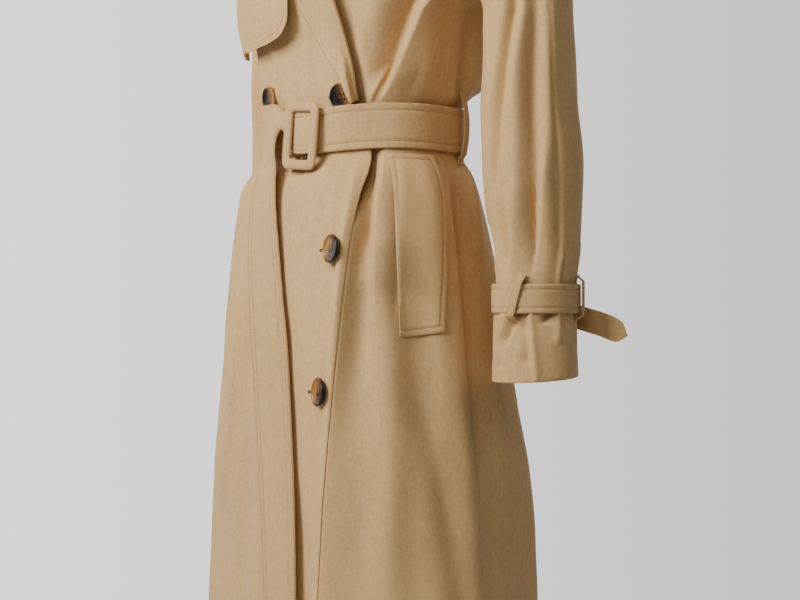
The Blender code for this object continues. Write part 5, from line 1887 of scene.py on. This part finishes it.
    def loop(self, side: Side) -> None:
        """A narrow loop that stands off over the belt at the side seam."""
        azimuth = side.value * self.loop_azimuth
        middle, n, along = self.level_frame(azimuth)
        centre = []
        for z in np.linspace(*self.loop_ends, 30):
            off = self.loop_off + self.loop_bow * (1 - ((z + 0.371) / 0.03) ** 2)
            plain = self.body.sheet(Panel.BACK, np.array([azimuth % 360]), np.array([z]))[0]
            share = float(below(abs(z + 0.372), 0.041, 0.012))
            point = (plain + n * self.loop_foot) * (1 - share) + (middle + n * off) * share
            centre.append((point[0], point[1], z))
        centre = np.array(centre)
        away = np.tile(n, (len(centre), 1))
        band = Ribbon(
            f"cloth_belt_loop_{side.word}", (f"belt_loop_{side.word}",),
            thickness=0.0016, groove=0.0002, lines=(0.0018,), edge_round=0.0005, pucker=0.0,
        )
        across = along * self.loop_half
        band.build(centre - across, centre + across, self.palette, away, rests_on=("back",))

    def make(self) -> None:
        """Builds every piece."""
        self.belt()
        self.tail()
        self.buckle()
        for side in Side:
            self.loop(side)


@dataclass
class Collar:
    """The stand round the neck and the fall turned down over it.

    Attributes:
        palette: The finishes.
        stations: Columns round the neck.
        fold_out: How far the fall's fold lies outside the stand's top.
        fold_up: How far it lies above it.
        bulge: How far the fall stands out below its fold.
        rise: How far it stands up in its middle.
        wave: Height of its soft waves.
    """

    palette: Palette
    stations: int = 96
    fold_out: float = 0.0006
    fold_up: float = 0.0014
    bulge: float = 0.012
    rise: float = 0.010
    wave: float = 0.0012

    def make(self) -> None:
        """Builds both pieces."""
        rows = np.array(COLLAR)
        place = np.linspace(-1.0, 1.0, self.stations)
        found = smooth(np.abs(place), rows[:, 0], rows[:, 1:])
        side = np.where(place < 0, -1.0, 1.0)[:, None]
        low, top, rim = found[:, 0:3], found[:, 3:6], found[:, 6:9]
        for part in (low, top, rim):
            part[:, :1] *= side
        v = np.linspace(0.0, 1.0, 14)[:, None, None]
        self.wall("cloth_collar_stand", "collar_stand", low[None] * (1 - v) + top[None] * v, 1.0)
        v = np.linspace(0.0, 1.0, 30)[:, None, None]
        up = np.array([0.0, 0.0, 1.0])
        away = rim - top
        away[:, 2] = 0.0
        away = unit(away)
        start = top + away * self.fold_out + up * self.fold_up
        bulge = away[None] * self.bulge * np.sin(math.pi * v) * (1 - v)
        rise = up * self.rise * np.sin(math.pi * v)
        wave = np.sin(place * 9.0)[None, :, None] * up * self.wave * v
        grid = start[None] * (1 - v) + rim[None] * v + bulge + rise + wave
        self.wall("cloth_collar_fall", "collar_fall", grid, -1.0)

    def wall(self, name: str, node: str, outer: Grid, turn: float) -> None:
        """A cloth wall behind a grid of outer points.

        Args:
            name: The piece's name.
            node: The solid that it stands for.
            outer: Points of its outer face.
            turn: 1 or -1, whichever makes the grid's directions point out.
        """
        n = unit(np.cross(np.gradient(outer, axis=1), np.gradient(outer, axis=0))) * turn
        points, faces = shell(outer, outer - n * CLOTH)
        thing = mesh_piece(name, points, faces, self.palette.cotton, (node,))


@dataclass
class Sleeves:
    """Both sleeves with the straps round their cuffs.

    Attributes:
        body: The body's form.
        palette: The finishes.
        columns: Columns round a sleeve.
        strap_z: Height of the strap's middle.
        strap_out: How far the strap stands off the sleeve.
        strap_half: Half its width.
        hem_sway: How far the hem is higher on one side of the sleeve than level.
        loop_half: Half the width of a loop.
        loop_ends: Heights of a loop's lower and upper end.
        loop_foot: How far its ends stand off the sleeve.
        lean_reach: Distance from the strap's middle at which a loop leans fully.
    """

    body: BodyForm
    palette: Palette
    columns: int = 132
    strap_z: float = -0.5555
    strap_out: float = 0.0052
    strap_half: float = 0.0145
    hem_sway: float = 0.004
    loop_half: float = 0.0048
    loop_ends: tuple[float, float] = (-0.5800, -0.5310)
    loop_foot: float = 0.0018
    lean_reach: float = 0.025

    def tube(self, form: SleeveForm, side: Side) -> None:
        """A sleeve from the armhole to its hem."""
        turn = np.linspace(0.0, 360.0, self.columns + 1)[:-1][None, :]
        rows = np.concatenate(
            [np.linspace(1e-6, 1.0, 60), np.linspace(-0.258, -0.540, 96), np.linspace(-0.5415, -0.638, 60)]
        )[:, None]
        turn, rows = np.broadcast_arrays(turn, rows)
        grid = form.sheet(turn, rows)
        hem = below(rows, -0.575, 0.06) * (rows < -0.6)
        grid[..., 2] -= self.hem_sway * np.cos(np.radians(turn - 80)) * hem
        across = form.base(turn + 2.0, rows) - form.base(turn - 2.0, rows)
        before = np.where(rows > 0, np.maximum(rows - 0.01, 1e-7), rows + 0.0005)
        after = np.where(rows > 0, rows, rows - 0.0005)
        along = form.base(turn, after) - form.base(turn, before)
        n = unit(np.cross(across, along) * side.value)
        points, faces = shell(grid, grid - n * CLOTH, closed=True)
        name = f"sleeve_{side.word}"
        thing = mesh_piece(f"cloth_{name}", points, faces, self.palette.cotton, (name,))
        f"front_{side.word}"

    def strap(self, form: SleeveForm, side: Side) -> None:
        """The strap round the sleeve above its cuff."""
        turn = np.linspace(0.0, 360.0, 181)[:-1]
        away = form.outwards(turn)
        low = form.ring(turn, np.full(turn.shape, self.strap_z)) + away * self.strap_out
        high = low.copy()
        low[:, 2] = self.strap_z - self.strap_half
        high[:, 2] = self.strap_z + self.strap_half
        name = f"cuff_strap_{side.word}"
        band = Ribbon(f"cloth_{name}", (name,), lines=(0.005,))
        band.build(low, high, self.palette, away, closed=True, rests_on=(f"sleeve_{side.word}",))

    def tab(self, form: SleeveForm, side: Side) -> None:
        """The strap's free end, which stands away behind the sleeve."""
        s = side.value
        middle = form.ring(np.array(0.0), np.array(self.strap_z))
        x, y = middle[0] - s * TAB_FROM, middle[1]
        fine = smooth(np.linspace(0, len(TAB) - 1, 70), np.arange(len(TAB)), np.array(TAB))
        centre = np.stack([x + s * fine[:, 0], y + fine[:, 1], fine[:, 2]], axis=-1)
        along = np.array([s * 0.85, 0.36, -0.30])
        away = np.array([s * -0.39, 0.92, 0.0])
        up = np.cross(along, away)
        up = up / np.linalg.norm(up) * -s
        half = up * fine[:, 3:4]
        name = f"cuff_tab_{side.word}"
        band = Ribbon(f"cloth_{name}", (name,), lines=(0.004,))
        outward = np.tile(away, (len(centre), 1))
        rests = (f"cuff_strap_{side.word}",)
        band.build(centre - half, centre + half, self.palette, outward, rests_on=rests)

    def loops(self, form: SleeveForm, side: Side) -> None:
        """The two loops that hold the strap."""
        s = side.value
        for mark, turn_at, lean, off in CUFF_LOOPS:
            centre, outward = [], []
            for z in np.linspace(*self.loop_ends, 26):
                tilt = turn_at - lean * (z - self.strap_z) / self.lean_reach
                away = form.outwards(np.array(tilt))
                foot = form.sheet(np.array(tilt), np.array(z)) + away * self.loop_foot
                over = form.ring(np.array(tilt), np.array(self.strap_z)) + away * off
                share = float(below(abs(z - self.strap_z), 0.0245, 0.007))
                point = foot * (1 - share) + over * share
                centre.append((point[0], point[1], z))
                outward.append(away)
            centre = np.array(centre)
            angle = math.radians(turn_at)
            across = np.array([-s * math.sin(angle), -math.cos(angle), 0.0]) * self.loop_half
            name = f"cuff_loop_{mark}_{side.word}"
            band = Ribbon(
                f"cloth_{name}", (name,),
                thickness=0.0014, groove=0.0002, lines=(0.0017,), edge_round=0.0005, pucker=0.0,
            )
            rests = (f"cuff_strap_{side.word}",)
            band.build(centre - across, centre + across, self.palette, np.array(outward), rests_on=rests)

    def make(self) -> None:
        """Builds every piece."""
        for side in Side:
            form = SleeveForm(self.body, side)
            self.tube(form, side)
            self.strap(form, side)
            self.tab(form, side)
            self.loops(form, side)


@dataclass
class ButtonSet:
    """The horn buttons with their four holes, threads and buttonholes.

    Attributes:
        body: The body's form.
        palette: The finishes.
        radius: A button's radius.
        rim: Height of its rim.
        dish: Height of its dished face.
        shank: Radius of its foot, as a share of its radius.
        stand: How far it stands off the cloth.
        tilt_lift: How much more it stands off for its tilt, in radii.
        steepest: The most that it leans up or down with the cloth, as a sine.
        amber_way: Where it turns from painted shade to painted lit amber: shares to the side and up.
        hole_radius: Radius of a hole.
        hole_at: From the middle to a hole, to the side and up.
        hole_sides: Corners of the tool that cuts a hole.
        segments: Corners of the button's outline.
        sharp: Edges sharper than this many degrees stay sharp.
    """

    body: BodyForm
    palette: Palette
    radius: float = 0.0152
    rim: float = 0.0046
    dish: float = 0.0028
    shank: float = 0.16
    stand: float = 0.0010
    tilt_lift: float = 0.62
    steepest: float = 0.4
    amber_way: tuple[float, float] = (0.94, 0.34)
    hole_radius: float = 0.00115
    hole_at: float = 0.0029
    hole_sides: int = 12
    segments: int = 56
    sharp: float = 40.0

    def lift(self, tilt: float) -> float:
        """How far a tilted button stands off the cloth."""
        return self.stand + self.radius * abs(math.sin(math.radians(tilt))) * self.tilt_lift

    def frame_of(self, azimuth: float, z: float, tilt: float, shift: float) -> tuple[Grid, ...]:
        """A button's middle and its side, up and outward directions."""
        spot = np.array([azimuth]), np.array([z])
        at = self.body.sheet(Panel.RIGHT, *spot)[0]
        n = self.body.normals(*spot)[0]
        turn = math.atan2(n[0], -n[1]) - math.radians(tilt)
        lean = math.asin(max(-self.steepest, min(self.steepest, n[2])))
        flat = np.array([math.sin(turn), -math.cos(turn), 0.0])
        side = np.array([math.cos(turn), math.sin(turn), 0.0])
        n = flat * math.cos(lean) + np.array([0.0, 0.0, math.sin(lean)])
        up = np.cross(side, -n)
        return at + side * shift * MM + n * self.lift(tilt), side, up, n

    def profile(self, foot: float) -> list[tuple[float, float]]:
        """Radius share and height of the turned button, from its foot up."""
        round_over = 0.0012
        rows = [(self.shank, foot), (self.shank, 0.0), (0.90, 0.0), (0.97, 0.0006)]
        rows += [(1.0, 0.0016), (1.0, 0.0032)]
        for angle in (20, 45, 70, 90, 115, 140, 165):
            turn = math.radians(angle)
            rows.append((0.93 + 0.07 * math.cos(turn), self.rim - round_over * (1 - math.sin(turn))))
        rows += [(0.84, self.rim - round_over), (0.80, self.dish + 0.0002), (0.72, self.dish - 0.0001)]
        rows += [(0.5, self.dish - 0.0004), (0.25, self.dish - 0.0006)]
        return rows

    def button(
        self, name: str, azimuth: float, z: float, tilt: float, shift: float, amber: int
    ) -> None:
        """One button with its holes and the thread in them.

        Args:
            name: The button's solid.
            azimuth: Degrees round the coat.
            z: Its height.
            tilt: Its tilt to the wearer's right, in degrees.
            shift: Its shift to the wearer's left, in mm.
            amber: 1 or -1, the side on which it is painted lit amber; the other side is painted shade.
        """
        at, side, up, n = self.frame_of(azimuth, z, tilt, shift)
        slant = abs(math.sin(math.radians(tilt)))
        foot = 0.0004 + (self.radius * 0.4 * self.shank - shift * 0.0028) * slant - self.lift(tilt)
        rows = self.profile(min(foot, -0.0002))
        turn = np.linspace(0, 2 * math.pi, self.segments + 1)[:-1]
        points = []
        for share, out in rows:
            x = np.cos(turn) * self.radius * share
            y = np.sin(turn) * self.radius * share
            points.append(at + side * x[:, None] + up * y[:, None] + n * out)
        faces = ring_faces(len(rows), self.segments)
        # Painted light: this direction sets the button's painted lit amber side and its painted dark, shaded
        # side.
        across, upwards = self.amber_way
        horn = self.palette.horn.make(at, side * amber * across + up * upwards)
        piece = mesh_piece(
            f"horn_{name}", np.concatenate(points), faces, horn, (name,), self.sharp
        )
        self.drill(piece, at, side, up, n)
        self.thread(name, at, side, up, n)

    def drill(self, piece: Thing, at: Grid, side: Grid, up: Grid, n: Grid) -> None:
        """Cuts the four holes."""
        points, faces = [], []
        turn = [2 * math.pi * k / self.hole_sides for k in range(self.hole_sides)]
        for sx in (-self.hole_at, self.hole_at):
            for sy in (-self.hole_at, self.hole_at):
                faces += ring_faces(2, self.hole_sides, len(points))
                for out in (self.dish - 0.0022, self.dish + 0.002):
                    for angle in turn:
                        x = sx + self.hole_radius * math.cos(angle)
                        y = sy + self.hole_radius * math.sin(angle)
                        points.append(tuple(at + side * x + up * y + n * out))
        drill = add_mesh("drill", points, faces)
        cutter = piece.modifiers.new("holes", "BOOLEAN")
        cutter.operation = "DIFFERENCE"
        cutter.solver = "EXACT"
        cutter.object = drill
        bpy.context.view_layer.update()
        graph = bpy.context.evaluated_depsgraph_get()
        made = bpy.data.meshes.new_from_object(piece.evaluated_get(graph))
        piece.modifiers.clear()
        piece.data = made
        made.set_sharp_from_angle(angle=math.radians(self.sharp))
        bpy.data.objects.remove(drill)

    def thread(self, name: str, at: Grid, side: Grid, up: Grid, n: Grid) -> None:
        """Two strands of thread between the holes."""
        thread = Stitches(f"thread_{name}", pitch=self.hole_at * 2, length=self.hole_at * 1.9)
        share = np.linspace(-1.25, 1.25, 12)
        bow = 0.0004 * (1 - (share / 1.25) ** 2) - 0.0009 * (np.abs(share) > 1.0)
        for x in (-self.hole_at, self.hole_at):
            line = at + side * x + up * (share * self.hole_at)[:, None]
            line = line + n * (self.dish - 0.0004 + bow)[:, None]
            thread.run(line, np.tile(n, (len(share), 1)), radius=0.00045)
        thread.piece(self.palette)

    def buttonhole(self, name: str, azimuth: float, z: float, shift: float) -> None:
        """The sewn slit that a button comes through."""
        thread = Stitches(f"buttonhole_{name}", pitch=0.0009, length=0.0006)
        reach = 0.0015 + 0.0215 * np.linspace(0.0, 1.0, 20) - shift * 0.0004
        a = azimuth - np.degrees(reach / 0.12)
        for apart in (-0.0009, 0.0009):
            h = np.full(a.shape, z + apart)
            line = self.body.sheet(Panel.RIGHT, a, h, 0.0001)
            thread.run(line, self.body.normals(a, h), radius=0.0010)
        thread.piece(self.palette)

    def make(self) -> None:
        """Builds every button."""
        for name, azimuth, z, tilt, shift, through, amber in BUTTONS:
            self.button(name, azimuth, z, tilt, shift, amber)
            if through:
                self.buttonhole(name, azimuth, z, shift)


@dataclass
class Studio:
    """A pale floor, soft lights and the camera at the photo's angle.

    Attributes:
        floor_z: Height of the floor, where the wearer's soles would be.
        floor_radius: Radius of the floor.
        azimuth: Where the camera stands.
        distance: From the camera to what it aims at.
        aim_z: Height at which it aims.
        aim_right: How far it is moved to its right.
        lens: Its focal length in mm.
        surround: Strength of the light from all sides.
        light_z: Height at which the lamps aim.
        backdrop: Brightness behind the coat, at the left and at the right.
        warmth: Colour of the lamps.
        lamps: Azimuth, elevation, distance, size and power of each lamp.
    """

    floor_z: float = -1.47
    floor_radius: float = 4.2
    azimuth: float = 50.0
    distance: float = 2.8
    aim_z: float = -0.557
    aim_right: float = 0.0396
    lens: float = 114.5
    surround: float = 0.09
    light_z: float = -0.45
    backdrop: tuple[float, float] = (1.62, 0.95)
    warmth: tuple[float, float, float] = (1.0, 0.955, 0.89)
    lamps: tuple[tuple[float, float, float, float, float], ...] = (
        (-5.0, 30.0, 2.0, 1.0, 61.0),
        (-72.0, 18.0, 2.6, 1.6, 14.0),
        (36.0, 34.0, 2.4, 0.7, 10.0),
        (118.0, 24.0, 2.8, 1.6, 7.5),
        (200.0, 30.0, 3.0, 2.2, 34.0),
    )

    @staticmethod
    def direction(azimuth: float, elevation: float = 0.0) -> Vector:
        """A direction from the coat towards an azimuth and elevation."""
        a, e = math.radians(azimuth), math.radians(elevation)
        return Vector((math.sin(a) * math.cos(e), -math.cos(a) * math.cos(e), math.sin(e)))

    @staticmethod
    def place(name: str, data: bpy.types.ID, spot: Vector, way: Vector) -> Thing:
        """Puts a lamp or the camera at a spot, facing against a direction."""
        thing = bpy.data.objects.new(name, data)
        thing.location = spot
        thing.rotation_mode = "QUATERNION"
        thing.rotation_quaternion = way.to_track_quat("Z", "Y")
        bpy.context.scene.collection.objects.link(thing)
        return thing

    def floor(self) -> None:
        """A round pale floor, below where the wearer would stand."""
        turn = np.linspace(0, 2 * math.pi, 65)[:-1]
        rim = [(self.floor_radius * math.cos(t), self.floor_radius * math.sin(t), self.floor_z) for t in turn]
        thing = add_mesh("floor", rim, [tuple(range(len(rim)))])
        colour = (0.62, 0.62, 0.63)
        pale, pen, shader = start_material("pale_floor", colour)
        pen.fill(shader, {"Base Color": (*colour, 1.0), "Roughness": 0.9})
        thing.data.materials.append(pale)

    def lights(self) -> None:
        """Large soft lamps and an even pale surround."""
        for k, (azimuth, elevation, distance, size, power) in enumerate(self.lamps):
            lamp = bpy.data.lights.new(f"softbox_{k}", "AREA")
            lamp.shape = "SQUARE"
            lamp.size = size
            lamp.energy = power
            lamp.color = self.warmth
            way = self.direction(azimuth, elevation)
            self.place(f"softbox_{k}", lamp, way * distance + Vector((0, 0, self.light_z)), way)
        world = bpy.data.worlds.new("surround")
        world.use_nodes = True
        pen = NodePen(world.node_tree)
        place = pen.add("ShaderNodeTexCoord").outputs["Generated"]
        away = -self.direction(self.azimuth)
        facing = pen.along(place, tuple(away))
        sideways = pen.along(place, (-away.y, away.x, 0.0))
        left, right = self.backdrop
        shade = pen.remap(sideways, low=-0.15, high=0.15, to=(right, left))
        share = pen.remap(facing, low=0.72, high=0.90, to=(0.0, 1.0))
        extra = pen.number("MULTIPLY", pen.number("SUBTRACT", shade, self.surround), share)
        light = pen.number("ADD", extra, self.surround)
        pen.fill(world.node_tree.nodes["Background"], {"Color": (1.0, 1.0, 1.0, 1.0), "Strength": light})
        bpy.context.scene.world = world

    def camera(self) -> None:
        """The camera, level and at the photo's angle."""
        lens = bpy.data.cameras.new("camera")
        lens.lens = self.lens
        lens.sensor_width = 36.0
        way = self.direction(self.azimuth)
        right = Vector((-way.y, way.x, 0.0))
        spot = Vector((0, 0, self.aim_z)) + way * self.distance + right * self.aim_right
        bpy.context.scene.camera = self.place("camera", lens, spot, way)

    def make(self) -> None:
        """Sets the studio up."""
        self.floor()
        self.lights()
        self.camera()


def main() -> None:
    """Builds the coat and its studio."""
    logging.basicConfig(level=logging.INFO, format="%(name)s %(message)s")
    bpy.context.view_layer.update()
    palette = Palette()
    body = BodyForm()
    for part in (
        Fronts(body, palette), WaistBelt(body, palette), Collar(palette),
        Sleeves(body, palette), ButtonSet(body, palette), Studio(),
    ):
        part.make()
        LOG.info("%s done", type(part).__name__)


if __name__ == "__main__":
    main()
